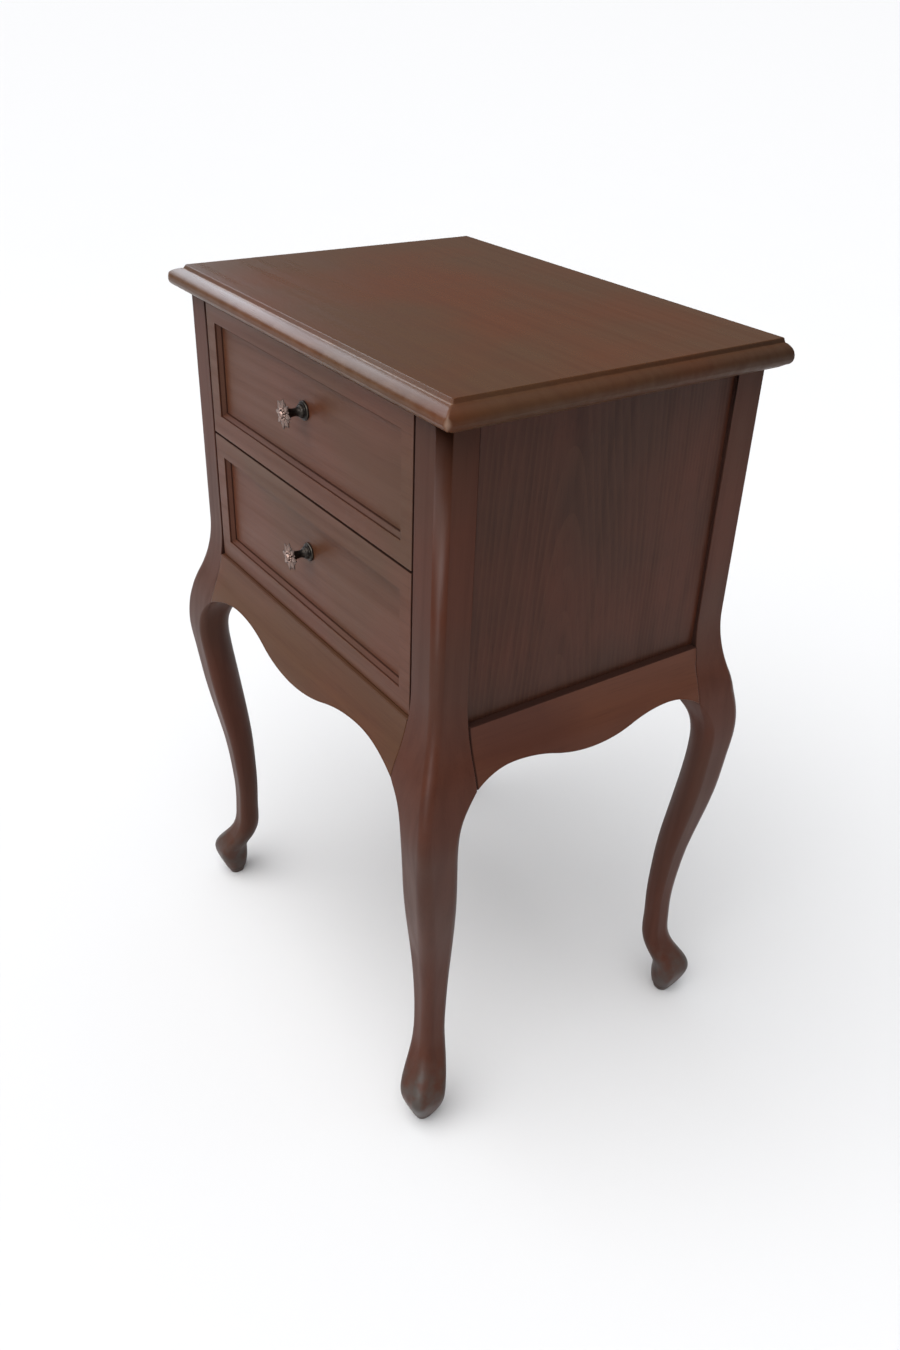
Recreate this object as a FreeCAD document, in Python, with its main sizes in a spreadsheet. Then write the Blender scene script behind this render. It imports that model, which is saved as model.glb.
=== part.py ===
import FreeCAD, Part
import math
import operator
import os

import Sketcher

# Two-drawer nightstand on cabriole legs, in millimetres.
# Frame: +Z up from the floor, the drawers open towards -Y, origin on the floor under the case's middle.

SIZES = {
    # whole piece
    "overall_height": 680.0,
    "case_width": 400.0,
    "case_depth": 294.5,
    # top panel and its moulded edge
    "top_width": 440.0,
    "top_thickness": 22.5,
    "top_front_overhang": 11.2,
    "top_rear_overhang": 6.3,
    "top_corner_round": 5.0,
    "moulding_width": 13.0,
    # posts and cabriole legs
    "post_width": 32.5,
    "front_post_depth": 30.0,
    "rear_post_depth": 28.5,
    "front_post_round": 8.8,
    "rear_post_round": 1.5,
    "knee_round": 8.8,
    "post_arris": 0.8,
    "leg_height": 371.0,
    "knee_rise": 77.0,
    "knee_drop": 38.0,
    "knee_reach": 22.2,
    "knee_width": 38.0,
    "rear_splay": 3.8,
    # aprons
    "apron_height": 49.0,
    "front_apron_thickness": 18.0,
    "front_hump_rise": 14.5,
    "front_pendant_drop": 2.5,
    "side_apron_lift": 1.0,
    "side_hump_rise": 12.0,
    "side_pendant_drop": 0.3,
    "rear_apron_rise": 5.0,
    "rear_apron_thickness": 20.0,
    # side and back panels
    "panel_recess": 3.5,
    "panel_thickness": 10.0,
    "panel_groove": 6.0,
    "back_thickness": 5.0,
    "back_inset": 2.0,
    "back_rebate": 8.0,
    # rails and their tenons
    "rail_thickness": 18.0,
    "top_rail_thickness": 16.0,
    "rail_depth": 40.0,
    "bottom_rail_rise": 11.0,
    "tenon_length": 14.0,
    "tenon_thickness": 7.0,
    "apron_tenon_thickness": 6.0,
    "tenon_cheek": 2.0,
    "tenon_shoulder": 4.0,
    "tenon_gap": 0.1,
    # runners, guides, stops and glue blocks
    "runner_width": 38.0,
    "guide_height": 22.0,
    "stop_length": 8.0,
    "stop_width": 15.0,
    "stop_height": 20.0,
    "block_size": 20.0,
    "block_height": 24.0,
    # drawers
    "drawer_gap": 1.8,
    "drawer_side_gap": 2.4,
    "drawer_setback": 0.4,
    "front_thickness": 18.0,
    "front_edge_round": 0.8,
    "behind_front": 0.6,
    "box_inset": 0.5,
    "box_start": 8.0,
    "box_thickness": 10.0,
    "box_headroom": 6.0,
    "box_groove": 5.0,
    "box_back_inset": 10.0,
    "box_back_drop": 6.0,
    "bottom_thickness": 4.0,
    "bottom_rise": 8.0,
    "guide_clearance": 0.9,
    "running_gap": 0.3,
    # recessed field of each drawer front
    "border_side": 15.0,
    "border_bottom": 17.5,
    "border_top": 18.5,
    "upper_border_top": 12.5,
    "step_depth": 1.2,
    "slope_depth": 3.4,
    "slope_width": 3.0,
    "field_depth": 5.5,
    # knobs
    "knob_base_radius": 7.8,
    "knob_base_length": 17.2,
    "rosette_radius": 12.0,
    "rosette_thickness": 2.4,
    "rosette_boss_height": 1.8,
    "rosette_pin_radius": 1.5,
    "rosette_pin_length": 3.0,
    "machine_screw_radius": 2.0,
    "machine_screw_grip": 9.0,
    "machine_head_radius": 4.0,
    "machine_head_height": 2.4,
    # screws that hold the top
    "wood_screw_radius": 2.0,
    "wood_screw_length": 29.0,
    "wood_head_radius": 4.0,
    "wood_head_height": 3.0,
    "wood_screw_inset": 47.5,
    "screw_gap": 0.05,
    # cutters run past a face by this much
    "overrun": 2.0,
}

# One section of the leg per row, from just under the apron's end down to the floor. Height is a share of
# the leg's height, reach a share of the knee's reach beyond the case, splay a share of what the rear legs
# stand out more, width a share of the knee's width, and the outer, side and inner corner rounds are
# shares of the section's own width.
LEG_SECTION_SHARES = (
    (0.9700, 0.890, 0.00, 1.140, 0.19, 0.10, 0.28),
    (0.9350, 0.969, 0.05, 1.030, 0.21, 0.16, 0.46),
    (0.8890, 1.000, 0.12, 0.978, 0.24, 0.20, 0.62),
    (0.8220, 0.900, 0.40, 0.960, 0.28, 0.22, 0.75),
    (0.7200, 0.713, 0.80, 0.953, 0.31, 0.23, 0.75),
    (0.6090, 0.430, 0.95, 0.880, 0.35, 0.24, 0.71),
    (0.5120, 0.165, 1.00, 0.776, 0.38, 0.25, 0.64),
    (0.4200, -0.001, 1.00, 0.684, 0.39, 0.26, 0.57),
    (0.3290, -0.089, 1.00, 0.629, 0.39, 0.27, 0.55),
    (0.2530, -0.063, 1.00, 0.629, 0.38, 0.28, 0.57),
    (0.1990, 0.042, 0.98, 0.700, 0.36, 0.29, 0.63),
    (0.1620, 0.279, 0.95, 0.795, 0.32, 0.30, 0.67),
    (0.1350, 0.560, 0.88, 0.875, 0.29, 0.30, 0.68),
    (0.1105, 0.800, 0.80, 0.927, 0.27, 0.30, 0.68),
    (0.0890, 0.886, 0.75, 0.932, 0.27, 0.30, 0.68),
    (0.0650, 0.822, 0.75, 0.880, 0.28, 0.31, 0.66),
    (0.0270, 0.590, 0.75, 0.650, 0.34, 0.34, 0.54),
    (0.0000, 0.389, 0.75, 0.430, 0.38, 0.38, 0.42),
)

# Sections of the knee from the apron's end up to the straight post, as shares of the knee's flared height.
KNEE_SECTION_SHARES = (1.0, 0.77, 0.5, 0.24, 0.0)

# The top's edge moulding from the flat top down to the underside: share of the moulding's width in from
# the edge, share of the top's thickness down, and the radius of a round part as a share of the width.
MOULDING_SHARES = (
    (1.000, 0.000, None),
    (0.846, 0.147, None),
    (0.277, 0.247, 1.320),
    (0.000, 0.524, 0.554),
    (0.000, 0.578, None),
    (0.438, 0.818, 0.580),
    (1.000, 1.000, None),
)

# Where each apron's lower edge is highest, as a share of the way from its middle to its end.
FRONT_HUMP_SHARE = 0.657
SIDE_HUMP_SHARE = 0.686

# The lower drawer front's share of the height that the two fronts have between them.
LOWER_DRAWER_SHARE = 0.5157

# How far each knob sits above its field's middle: a share of the room between its foot and the slope.
KNOB_RISE_SHARES = {"upper": 0.26971, "lower": 0.26412}

# The knob's turned base: share of its length out from the drawer, share of its radius, and the bend of
# a curved part as a share of that radius, below zero where it is hollow.
KNOB_BASE_SHARES = (
    (0.000, 1.00, None),
    (0.070, 1.00, None),
    (0.140, 0.90, 0.167),
    (0.552, 0.40, -1.080),
    (0.872, 0.59, -1.385),
    (0.907, 0.69, None),
    (1.000, 0.69, None),
)

# The rosette's parts as shares of its radius.
ROSETTE_PLATE_SHARE = 0.78
ROSETTE_BOSS_SHARE = 0.30
PETAL_SHARE = 0.28
PETAL_HOLE_SHARE = 0.10
PETAL_HOLE_PLACE_SHARE = 0.56
PETAL_COUNT = 8


class Size:
    """A length worked out from the sheet: its number now, and the formula that keeps it live."""

    def __init__(self, number, formula):
        self.number = number
        self.formula = formula

    def join(self, other, sign, work):
        other = as_size(other)
        return Size(work(self.number, other.number), "(%s %s %s)" % (self.formula, sign, other.formula))

    def __add__(self, other):
        return self.join(other, "+", operator.add)

    def __sub__(self, other):
        return self.join(other, "-", operator.sub)

    def __mul__(self, other):
        return self.join(other, "*", operator.mul)

    def __truediv__(self, other):
        return self.join(other, "/", operator.truediv)

    def __neg__(self):
        return self * -1

    def root(self):
        return Size(math.sqrt(self.number), "sqrt(%s)" % self.formula)


def as_size(value):
    return value if isinstance(value, Size) else Size(float(value), "(%r)" % float(value))


class Sheet:
    """The driving sizes by name, each one tied to its cell."""

    def __init__(self, document, sizes):
        cells = document.addObject("Spreadsheet::Sheet", "Sizes")
        for row, (name, number) in enumerate(sizes.items(), start=1):
            cells.set("A%d" % row, name)
            cells.set("B%d" % row, str(number))
            cells.setAlias("B%d" % row, name)
            setattr(self, name, Size(number, "Sizes." + name))


doc = FreeCAD.newDocument("Nightstand")
s = Sheet(doc, SIZES)
doc.recompute()

ZERO = as_size(0)
TINY = 1e-6
UPRIGHT = FreeCAD.Rotation()
TOWARDS_FRONT = FreeCAD.Rotation(FreeCAD.Vector(1, 0, 0), 90)

# Places shared by several pieces, across the case
half_case = s.case_width / 2
post_inner = half_case - s.post_width
panel_outer = half_case - s.panel_recess
panel_inner = panel_outer - s.panel_thickness
drawer_half = post_inner - s.drawer_side_gap
box_outer = drawer_half - s.box_inset
box_inner = box_outer - s.box_thickness
guide_face = box_outer + s.guide_clearance
runner_face = panel_inner - s.runner_width

# from front to back
front_y = -s.case_depth / 2
rear_y = s.case_depth / 2
front_post_back = front_y + s.front_post_depth
rear_post_face = rear_y - s.rear_post_depth
drawer_face = front_y + s.drawer_setback
drawer_front_back = drawer_face + s.front_thickness
field_face = drawer_face + s.field_depth
rail_face = drawer_front_back + s.behind_front
rail_back = rail_face + s.rail_depth
back_outer = rear_y - s.back_inset
back_inner = back_outer - s.back_thickness
rear_rail_face = back_inner - s.rail_thickness
stop_face = rear_post_face - s.stop_length
box_front = drawer_face + s.box_start
box_rear = stop_face - s.running_gap

# and from the floor up
top_under = s.overall_height - s.top_thickness
knee_top = s.leg_height + s.knee_rise
apron_top = s.leg_height + s.apron_height
side_apron_top = apron_top + s.side_apron_lift
fronts_height = top_under - apron_top - s.drawer_gap * 3
lower_front = (apron_top + s.drawer_gap, apron_top + s.drawer_gap + fronts_height * LOWER_DRAWER_SHARE)
upper_front = (lower_front[1] + s.drawer_gap, top_under - s.drawer_gap)
split = lower_front[1] + s.drawer_gap / 2
bottom_level = (apron_top + s.bottom_rail_rise - s.rail_thickness, apron_top + s.bottom_rail_rise)
divider_level = (split - s.rail_thickness / 2, split + s.rail_thickness / 2)
top_level = (top_under - s.top_rail_thickness, top_under)
lower_box = (bottom_level[1] + s.running_gap, divider_level[0] - s.box_headroom)
upper_box = (divider_level[1] + s.running_gap, top_level[0] - s.box_headroom)


def shouldered(span):
    """A tenon's share of a span, between its two shoulders."""
    return span[0] + s.tenon_shoulder, span[1] - s.tenon_shoulder


# Tenons that the posts take from the rails and aprons between them: from front to back, then up
front_rail_tenon = (rail_face + s.tenon_cheek, rail_face + s.tenon_cheek + s.tenon_thickness)
rear_rail_tenon = (rear_rail_face + s.tenon_shoulder, rear_rail_face + s.tenon_shoulder + s.tenon_thickness)
front_apron_tenon = (front_y + s.tenon_shoulder, front_y + s.tenon_shoulder + s.apron_tenon_thickness)
rear_apron_face = back_outer - s.rear_apron_thickness
rear_apron_tenon = (rear_apron_face + s.tenon_shoulder,
                    rear_apron_face + s.tenon_shoulder + s.apron_tenon_thickness)
front_apron_level = (s.leg_height, apron_top)
rear_apron_level = (s.leg_height + s.rear_apron_rise, bottom_level[0])
side_apron_level = (s.leg_height, side_apron_top)
side_apron_tenon = (panel_inner + s.tenon_cheek, panel_inner + s.tenon_cheek + s.apron_tenon_thickness)
LEVELS = (top_level, divider_level, bottom_level)
FRONT_TENONS = [(front_rail_tenon, shouldered(level)) for level in LEVELS]
FRONT_TENONS.append((front_apron_tenon, shouldered(front_apron_level)))
REAR_TENONS = [(rear_rail_tenon, shouldered(level)) for level in LEVELS]
REAR_TENONS.append((rear_apron_tenon, shouldered(rear_apron_level)))

# Screws that hold the top
rail_screw_x = post_inner - s.wood_screw_inset
cleat_screw_x = (post_inner + panel_inner) / 2
front_screw_y = (rail_face + rail_back) / 2
rear_screw_y = (rear_rail_face + back_inner) / 2
FRONT_SCREWS = [(rail_screw_x * side, front_screw_y) for side in (-1, 1)]
REAR_SCREWS = [(rail_screw_x * side, rear_screw_y) for side in (-1, 1)]
CLEAT_SCREWS = {side: (cleat_screw_x * side, ZERO) for side in (-1, 1)}
TOP_SCREWS = FRONT_SCREWS + REAR_SCREWS + list(CLEAT_SCREWS.values())


def bind(item, path, size):
    item.setExpression(path, as_size(size).formula)


def place(item, x, y, z):
    for axis, size in zip("xyz", (x, y, z)):
        bind(item, "Placement.Base." + axis, size)


def new_body(label, x=ZERO, y=ZERO, z=ZERO, rotation=UPRIGHT):
    body = doc.addObject("PartDesign::Body", label)
    body.Label = label
    body.AllowCompound = True
    body.Placement = FreeCAD.Placement(FreeCAD.Vector(), rotation)
    place(body, x, y, z)
    return body


def origin_part(body, role):
    return next(item for item in body.Origin.OriginFeatures if item.Role == role)


def mirrored(side, low, high):
    """A span on the right of the case, or the same span on the left."""
    return (low, high) if side > 0 else (-high, -low)


def grown(span, gap):
    return span[0] - gap, span[1] + gap


def box_in(body, name, kind, *spans):
    """An added or a cut box over three spans: across, from front to back, up."""
    box = body.newObject("PartDesign::%sBox" % kind, name)
    for side, span in zip(("Length", "Width", "Height"), spans):
        bind(box, side, span[1] - span[0])
    place(box, *(span[0] for span in spans))
    return box


def cylinder_in(body, name, kind, radius, height, base, rotation=UPRIGHT):
    cylinder = body.newObject("PartDesign::%sCylinder" % kind, name)
    bind(cylinder, "Radius", radius)
    bind(cylinder, "Height", height)
    cylinder.Placement = FreeCAD.Placement(FreeCAD.Vector(), rotation)
    place(cylinder, *base)
    return cylinder


def cone_in(body, name, kind, radii, height, base):
    cone = body.newObject("PartDesign::%sCone" % kind, name)
    bind(cone, "Radius1", radii[0])
    bind(cone, "Radius2", radii[1])
    bind(cone, "Height", height)
    place(cone, *base)
    return cone


def arc_centre(start, end, radius, turn):
    """Centre of the short arc from start to end: turn 1 runs anticlockwise, -1 clockwise."""
    half = ((end[0] - start[0]) / 2, (end[1] - start[1]) / 2)
    chord = math.hypot(*half)
    rise = math.sqrt(max(radius * radius - chord * chord, 0)) / chord * turn
    return start[0] + half[0] - half[1] * rise, start[1] + half[1] + half[0] * rise


def pin_point(sketch, index, end, point):
    """Hold one end of a segment at a place worked out from the sheet."""
    for axis, kind, size in ((-2, "DistanceX", point[0]), (-1, "DistanceY", point[1])):
        size = as_size(size)
        if abs(size.number) > TINY:
            row = sketch.addConstraint(Sketcher.Constraint(kind, -1, 1, index, end, size.number))
            bind(sketch, "Constraints[%d]" % row, size)
        else:
            sketch.addConstraint(Sketcher.Constraint("PointOnObject", index, end, axis))


def add_segment(sketch, index, start, end):
    """A straight side, or an arc where the end point also gives a radius and a turn."""
    first = tuple(as_size(size).number for size in start[:2])
    last = tuple(as_size(size).number for size in end[:2])
    if len(end) == 2:
        sketch.addGeometry(Part.LineSegment(FreeCAD.Vector(*first, 0), FreeCAD.Vector(*last, 0)), False)
        return 1, 2
    radius, turn = end[2:]
    centre = arc_centre(first, last, radius.number, turn)
    angles = [math.atan2(spot[1] - centre[1], spot[0] - centre[0]) for spot in (first, last)]
    circle = Part.Circle(FreeCAD.Vector(*centre, 0), FreeCAD.Vector(0, 0, 1), radius.number)
    sketch.addGeometry(Part.ArcOfCircle(circle, *angles[::turn]), False)
    row = sketch.addConstraint(Sketcher.Constraint("Radius", index, radius.number))
    bind(sketch, "Constraints[%d]" % row, radius)
    return (1, 2) if turn > 0 else (2, 1)


def outline(body, name, role, points, offset=ZERO):
    """A closed sketch through points: (x, y) ends a straight side, (x, y, radius, turn) ends an arc."""
    sketch = body.newObject("Sketcher::SketchObject", name)
    sketch.AttachmentSupport = (origin_part(body, role), [""])
    sketch.MapMode = "FlatFace"
    bind(sketch, "AttachmentOffset.Base.z", offset)
    pairs = zip(points, points[1:] + points[:1])
    joints = [add_segment(sketch, index, *pair) for index, pair in enumerate(pairs)]
    for index, start in enumerate(points):
        pin_point(sketch, index, joints[index][0], start)
        before = (index - 1) % len(points)
        sketch.addConstraint(
            Sketcher.Constraint("Coincident", before, joints[before][1], index, joints[index][0]))
    return sketch


def extrude(body, name, kind, sketch, length, reverse=False, both_ways=False):
    """Pad or pocket a sketch."""
    feature = body.newObject("PartDesign::" + kind, name)
    feature.Profile = sketch
    feature.SideType = "Symmetric" if both_ways else "One side"
    feature.Reversed = reverse
    bind(feature, "Length", length)
    return feature


def loft(body, name, kind, sections, ruled):
    feature = body.newObject("PartDesign::%sLoft" % kind, name)
    feature.Profile = sections[0]
    feature.Sections = sections[1:]
    feature.Ruled = ruled
    return feature


def flare_radius():
    """The knee's face leaves the upright post in a hollow arc and comes round in an equal round one."""
    fall = s.knee_rise + s.knee_drop
    return (fall * fall + s.knee_reach * s.knee_reach) / (s.knee_reach * 4)


def flare_reach(drop):
    """How far the flared face stands out at a drop below the straight post."""
    radius = flare_radius()
    fall = s.knee_rise + s.knee_drop
    if drop.number <= fall.number / 2:
        return radius - (radius * radius - drop * drop).root()
    rise = fall - drop
    return s.knee_reach - radius + (radius * radius - rise * rise).root()


def flared_face(level, outer, side):
    """Points down an apron's face from its top to its foot, on one side of the case."""
    top, bottom = level
    middle = knee_top - (s.knee_rise + s.knee_drop) / 2
    radius = flare_radius()
    return [
        ((outer + flare_reach(knee_top - top)) * side, top),
        ((outer + s.knee_reach / 2) * side, middle, radius, side),
        ((outer + flare_reach(knee_top - bottom)) * side, bottom, radius, -side),
    ]


def leg_section(body, name, height, reach, widths, rounds):
    """A rectangle whose outer corner stands past the case's corner by the reach."""
    outer, side, inner = rounds
    low_x, low_y = reach - widths[0], reach - widths[1]
    points = [
        (low_x + inner, low_y, inner, 1),
        (reach - side, low_y),
        (reach, low_y + side, side, 1),
        (reach, reach - outer),
        (reach - outer, reach, outer, 1),
        (low_x + side, reach),
        (low_x, reach - side, side, 1),
        (low_x, low_y + inner),
    ]
    return outline(body, name, "XY_Plane", points, height)


def leg_shape(body, widths, post_round, splay):
    """Post, knee and cabriole leg, drawn with the outer faces towards +X and +Y."""
    rounds = (post_round, s.post_arris, s.post_arris)
    post = leg_section(body, "post_section", knee_top, ZERO, widths, rounds)
    extrude(body, "post", "Pad", post, top_under - knee_top)
    knee = []
    for number, share in enumerate(KNEE_SECTION_SHARES):
        drop = s.knee_rise * share
        reach = flare_reach(drop)
        spread = [width + reach for width in widths]
        rounds = (post_round + (s.knee_round - post_round) * (share * share * share), *rounds[1:])
        knee.append(leg_section(body, "knee_section_%d" % number, knee_top - drop, reach, spread, rounds))
    loft(body, "knee", "Additive", knee, False)
    reach = flare_reach(s.knee_rise)
    spread = [width + reach for width in widths]
    rounds = (s.knee_round, s.post_arris, s.post_arris)
    shank = [leg_section(body, "leg_section_0", s.leg_height, reach, spread, rounds)]
    for number, row in enumerate(LEG_SECTION_SHARES, start=1):
        height, width = s.leg_height * row[0], s.knee_width * row[3]
        reach = s.knee_reach * row[1] + splay * row[2]
        rounds = [width * share for share in row[4:]]
        shank.append(leg_section(body, "leg_section_%d" % number, height, reach, (width, width), rounds))
    loft(body, "leg", "Additive", shank, False)


def cut_in_leg(body, name, turns, corner, x_span, y_span, z_span):
    """Cut a box, given in the case's frame, out of a leg that stands turned at its corner."""
    ends = []
    for x, y in zip(x_span, y_span):
        x, y = x - corner[0], y - corner[1]
        ends.append(((x, y), (y, -x), (-x, -y), (-y, x))[turns])
    spans = [sorted(pair, key=lambda size: size.number) for pair in zip(*ends)]
    box_in(body, name, "Subtractive", *spans, z_span)


def make_leg(label, side, end, turns):
    """One leg, turned to its corner, with the mortises, the panel groove and at the back the rebate."""
    depth = s.front_post_depth if end < 0 else s.rear_post_depth
    corner = (half_case * side, rear_y * end)
    rotation = FreeCAD.Rotation(FreeCAD.Vector(0, 0, 1), 90 * turns)
    body = new_body(label, *corner, rotation=rotation)
    widths = (depth, s.post_width) if turns % 2 else (s.post_width, depth)
    if end < 0:
        leg_shape(body, widths, s.front_post_round, ZERO)
    else:
        leg_shape(body, widths, s.rear_post_round, s.rear_splay)
    mortise_x = mirrored(side, post_inner - s.overrun, post_inner + s.tenon_length + s.tenon_gap)
    for number, (y_span, z_span) in enumerate(FRONT_TENONS if end < 0 else REAR_TENONS):
        cut_in_leg(body, "mortise_%d" % number, turns, corner,
                   mortise_x, grown(y_span, s.tenon_gap), grown(z_span, s.tenon_gap))
    if end < 0:
        apron_y = (front_post_back - s.tenon_length - s.tenon_gap, front_post_back + s.overrun)
        groove_y = (front_post_back - s.panel_groove - s.tenon_gap, front_post_back + s.overrun)
    else:
        apron_y = (rear_post_face - s.overrun, rear_post_face + s.tenon_length + s.tenon_gap)
        groove_y = (rear_post_face - s.overrun, rear_post_face + s.panel_groove + s.tenon_gap)
        cut_in_leg(body, "back_rebate", turns, corner,
                   mirrored(side, post_inner - s.overrun, post_inner + s.back_rebate + s.tenon_gap),
                   (back_inner, rear_y + s.knee_reach + s.overrun), (bottom_level[0], top_under + s.overrun))
    cut_in_leg(body, "side_apron_mortise", turns, corner,
               mirrored(side, *grown(side_apron_tenon, s.tenon_gap)), apron_y,
               grown(shouldered(side_apron_level), s.tenon_gap))
    cut_in_leg(body, "panel_groove", turns, corner,
               mirrored(side, *grown((panel_inner, panel_outer), s.tenon_gap)), groove_y,
               (side_apron_top, top_under + s.overrun))


def moulding_waste(body, name, role, edge, inwards):
    """What the moulding takes off one edge of the top, seen along that edge."""
    spots = []
    for inward, down, bend in MOULDING_SHARES:
        spot = (edge + s.moulding_width * (inward * inwards), s.overall_height - s.top_thickness * down)
        spots.append(spot if bend is None else spot + (s.moulding_width * bend, inwards))
    clear = edge - s.overrun * inwards
    points = [(clear, s.overall_height + s.overrun), (spots[0][0], s.overall_height + s.overrun)]
    points += spots
    points += [(spots[-1][0], top_under - s.overrun), (clear, top_under - s.overrun)]
    return outline(body, name, role, points)


def make_top_panel():
    """The top: a board with eased front corners, and the moulding along three of its edges."""
    body = new_body("top_panel")
    half = s.top_width / 2
    front, rear = front_y - s.top_front_overhang, rear_y + s.top_rear_overhang
    corner = s.top_corner_round
    board = [
        (-half, rear),
        (-half, front + corner),
        (-half + corner, front, corner, 1),
        (half - corner, front),
        (half, front + corner, corner, 1),
        (half, rear),
    ]
    extrude(body, "board", "Pad", outline(body, "board_outline", "XY_Plane", board, top_under),
            s.top_thickness)
    past_depth = s.case_depth + (s.top_front_overhang + s.top_rear_overhang + s.overrun) * 2
    for name, edge, inwards in (("left", -half, 1), ("right", half, -1)):
        waste = moulding_waste(body, name + "_waste", "XZ_Plane", edge, inwards)
        extrude(body, name + "_moulding", "Pocket", waste, past_depth, both_ways=True)
    waste = moulding_waste(body, "front_waste", "YZ_Plane", front, 1)
    extrude(body, "front_moulding", "Pocket", waste, s.top_width + s.overrun * 2, both_ways=True)
    for number, (x, y) in enumerate(TOP_SCREWS):
        cylinder_in(body, "pilot_hole_%d" % number, "Subtractive", s.wood_screw_radius + s.screw_gap,
                    s.wood_screw_length - s.top_rail_thickness + s.screw_gap + s.overrun,
                    (x, y, top_under - s.overrun))


def screw_hole(body, number, x, y):
    """A countersunk hole up through a rail or cleat under the top."""
    radius = s.wood_screw_radius + s.screw_gap
    cylinder_in(body, "screw_hole_%d" % number, "Subtractive", radius,
                s.top_rail_thickness + s.overrun * 2, (x, y, top_level[0] - s.overrun))
    cone_in(body, "countersink_%d" % number, "Subtractive",
            (s.wood_head_radius + s.screw_gap, radius), s.wood_head_height, (x, y, top_level[0]))


def make_top_screws():
    body = new_body("top_screws")
    for number, (x, y) in enumerate(TOP_SCREWS):
        base = (x, y, top_level[0])
        cone_in(body, "head_%d" % number, "Additive", (s.wood_head_radius, s.wood_screw_radius),
                s.wood_head_height, base)
        cylinder_in(body, "shank_%d" % number, "Additive", s.wood_screw_radius, s.wood_screw_length, base)


def make_side_panel(label, side):
    body = new_body(label)
    box_in(body, "panel", "Additive", mirrored(side, panel_inner, panel_outer),
           (front_post_back - s.panel_groove, rear_post_face + s.panel_groove), (side_apron_top, top_under))


def make_back_panel():
    body = new_body("back_panel")
    box_in(body, "panel", "Additive", (-post_inner - s.back_rebate, post_inner + s.back_rebate),
           (back_inner, back_outer), (bottom_level[0], top_under))


def add_tenons(body, y_span, z_span):
    for side, name in ((-1, "tenon_left"), (1, "tenon_right")):
        box_in(body, name, "Additive", mirrored(side, post_inner, post_inner + s.tenon_length),
               y_span, z_span)


def make_rail(label, y_span, tenon, level, screws=()):
    """A rail between two posts, with a tenon at each end."""
    body = new_body(label)
    box_in(body, "rail", "Additive", (-post_inner, post_inner), y_span, level)
    add_tenons(body, tenon, shouldered(level))
    for number, (x, y) in enumerate(screws):
        screw_hole(body, number, x, y)


def scallop(low_end, high_end, hump_share, rise, drop):
    """The waste under an apron's lower edge: a broad pendant in the middle and a hump on either side."""
    middle = (low_end + high_end) / 2
    half = (high_end - low_end) / 2
    hump, foot = half * hump_share, s.leg_height
    swing = rise + drop
    inner_radius = (hump * hump + swing * swing) / (swing * 4)
    run = half - hump
    outer_radius = (run * run + rise * rise) / (rise * 2)
    below = foot - drop - s.overrun
    return [
        (low_end, foot),
        (middle - hump, foot + rise, outer_radius, -1),
        (middle - hump / 2, foot + rise - swing / 2, inner_radius, -1),
        (middle + hump / 2, foot + rise - swing / 2, inner_radius, 1),
        (middle + hump, foot + rise, inner_radius, -1),
        (high_end, foot, outer_radius, -1),
        (high_end, below),
        (low_end, below),
    ]


def make_front_apron():
    """The apron under the drawers: its face follows the knees, its lower edge is shaped."""
    body = new_body("front_apron")
    inner = front_y + s.front_apron_thickness
    foot = s.leg_height - s.front_pendant_drop
    section = flared_face((apron_top, foot), rear_y, -1) + [(inner, foot), (inner, apron_top)]
    extrude(body, "apron", "Pad", outline(body, "apron_section", "YZ_Plane", section), post_inner * 2,
            both_ways=True)
    waste = scallop(-post_inner, post_inner, FRONT_HUMP_SHARE, s.front_hump_rise, s.front_pendant_drop)
    extrude(body, "shaped_edge", "Pocket", outline(body, "edge_waste", "XZ_Plane", waste),
            s.case_depth + (s.knee_reach + s.overrun) * 2, both_ways=True)
    add_tenons(body, front_apron_tenon, shouldered(front_apron_level))


def make_side_apron(label, side):
    body = new_body(label)
    inner = panel_inner * side
    foot = s.leg_height - s.side_pendant_drop
    section = flared_face((side_apron_top, foot), half_case, side)
    section += [(inner, foot), (inner, side_apron_top)]
    extrude(body, "apron", "Pad", outline(body, "apron_section", "XZ_Plane", section, -front_post_back),
            rear_post_face - front_post_back, reverse=True)
    waste = scallop(front_post_back, rear_post_face, SIDE_HUMP_SHARE, s.side_hump_rise,
                    s.side_pendant_drop)
    extrude(body, "shaped_edge", "Pocket", outline(body, "edge_waste", "YZ_Plane", waste),
            s.case_width + (s.knee_reach + s.overrun) * 2, both_ways=True)
    x_span = mirrored(side, *side_apron_tenon)
    z_span = shouldered(side_apron_level)
    box_in(body, "tenon_front", "Additive", x_span, (front_post_back - s.tenon_length, front_post_back),
           z_span)
    box_in(body, "tenon_rear", "Additive", x_span, (rear_post_face, rear_post_face + s.tenon_length),
           z_span)


def make_rear_apron():
    body = new_body("rear_apron")
    box_in(body, "apron", "Additive", (-post_inner, post_inner), (rear_apron_face, back_outer),
           rear_apron_level)
    add_tenons(body, rear_apron_tenon, shouldered(rear_apron_level))


def make_top_cleat(label, side):
    body = new_body(label)
    box_in(body, "cleat", "Additive", mirrored(side, post_inner, panel_inner),
           (front_post_back, rear_post_face), top_level)
    screw_hole(body, 0, *CLEAT_SCREWS[side])


def make_runner_and_guide(level_name, side_name, side, level):
    """The runner carries a drawer's side, and the guide on it keeps the drawer straight."""
    runner = new_body("%s_runner_%s" % (level_name, side_name))
    box_in(runner, "runner", "Additive", mirrored(side, runner_face, panel_inner),
           (rail_back, rear_post_face), level)
    guide = new_body("%s_guide_%s" % (level_name, side_name))
    box_in(guide, "guide", "Additive", mirrored(side, guide_face, panel_inner),
           (front_post_back, rear_post_face), (level[1], level[1] + s.guide_height))


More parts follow.
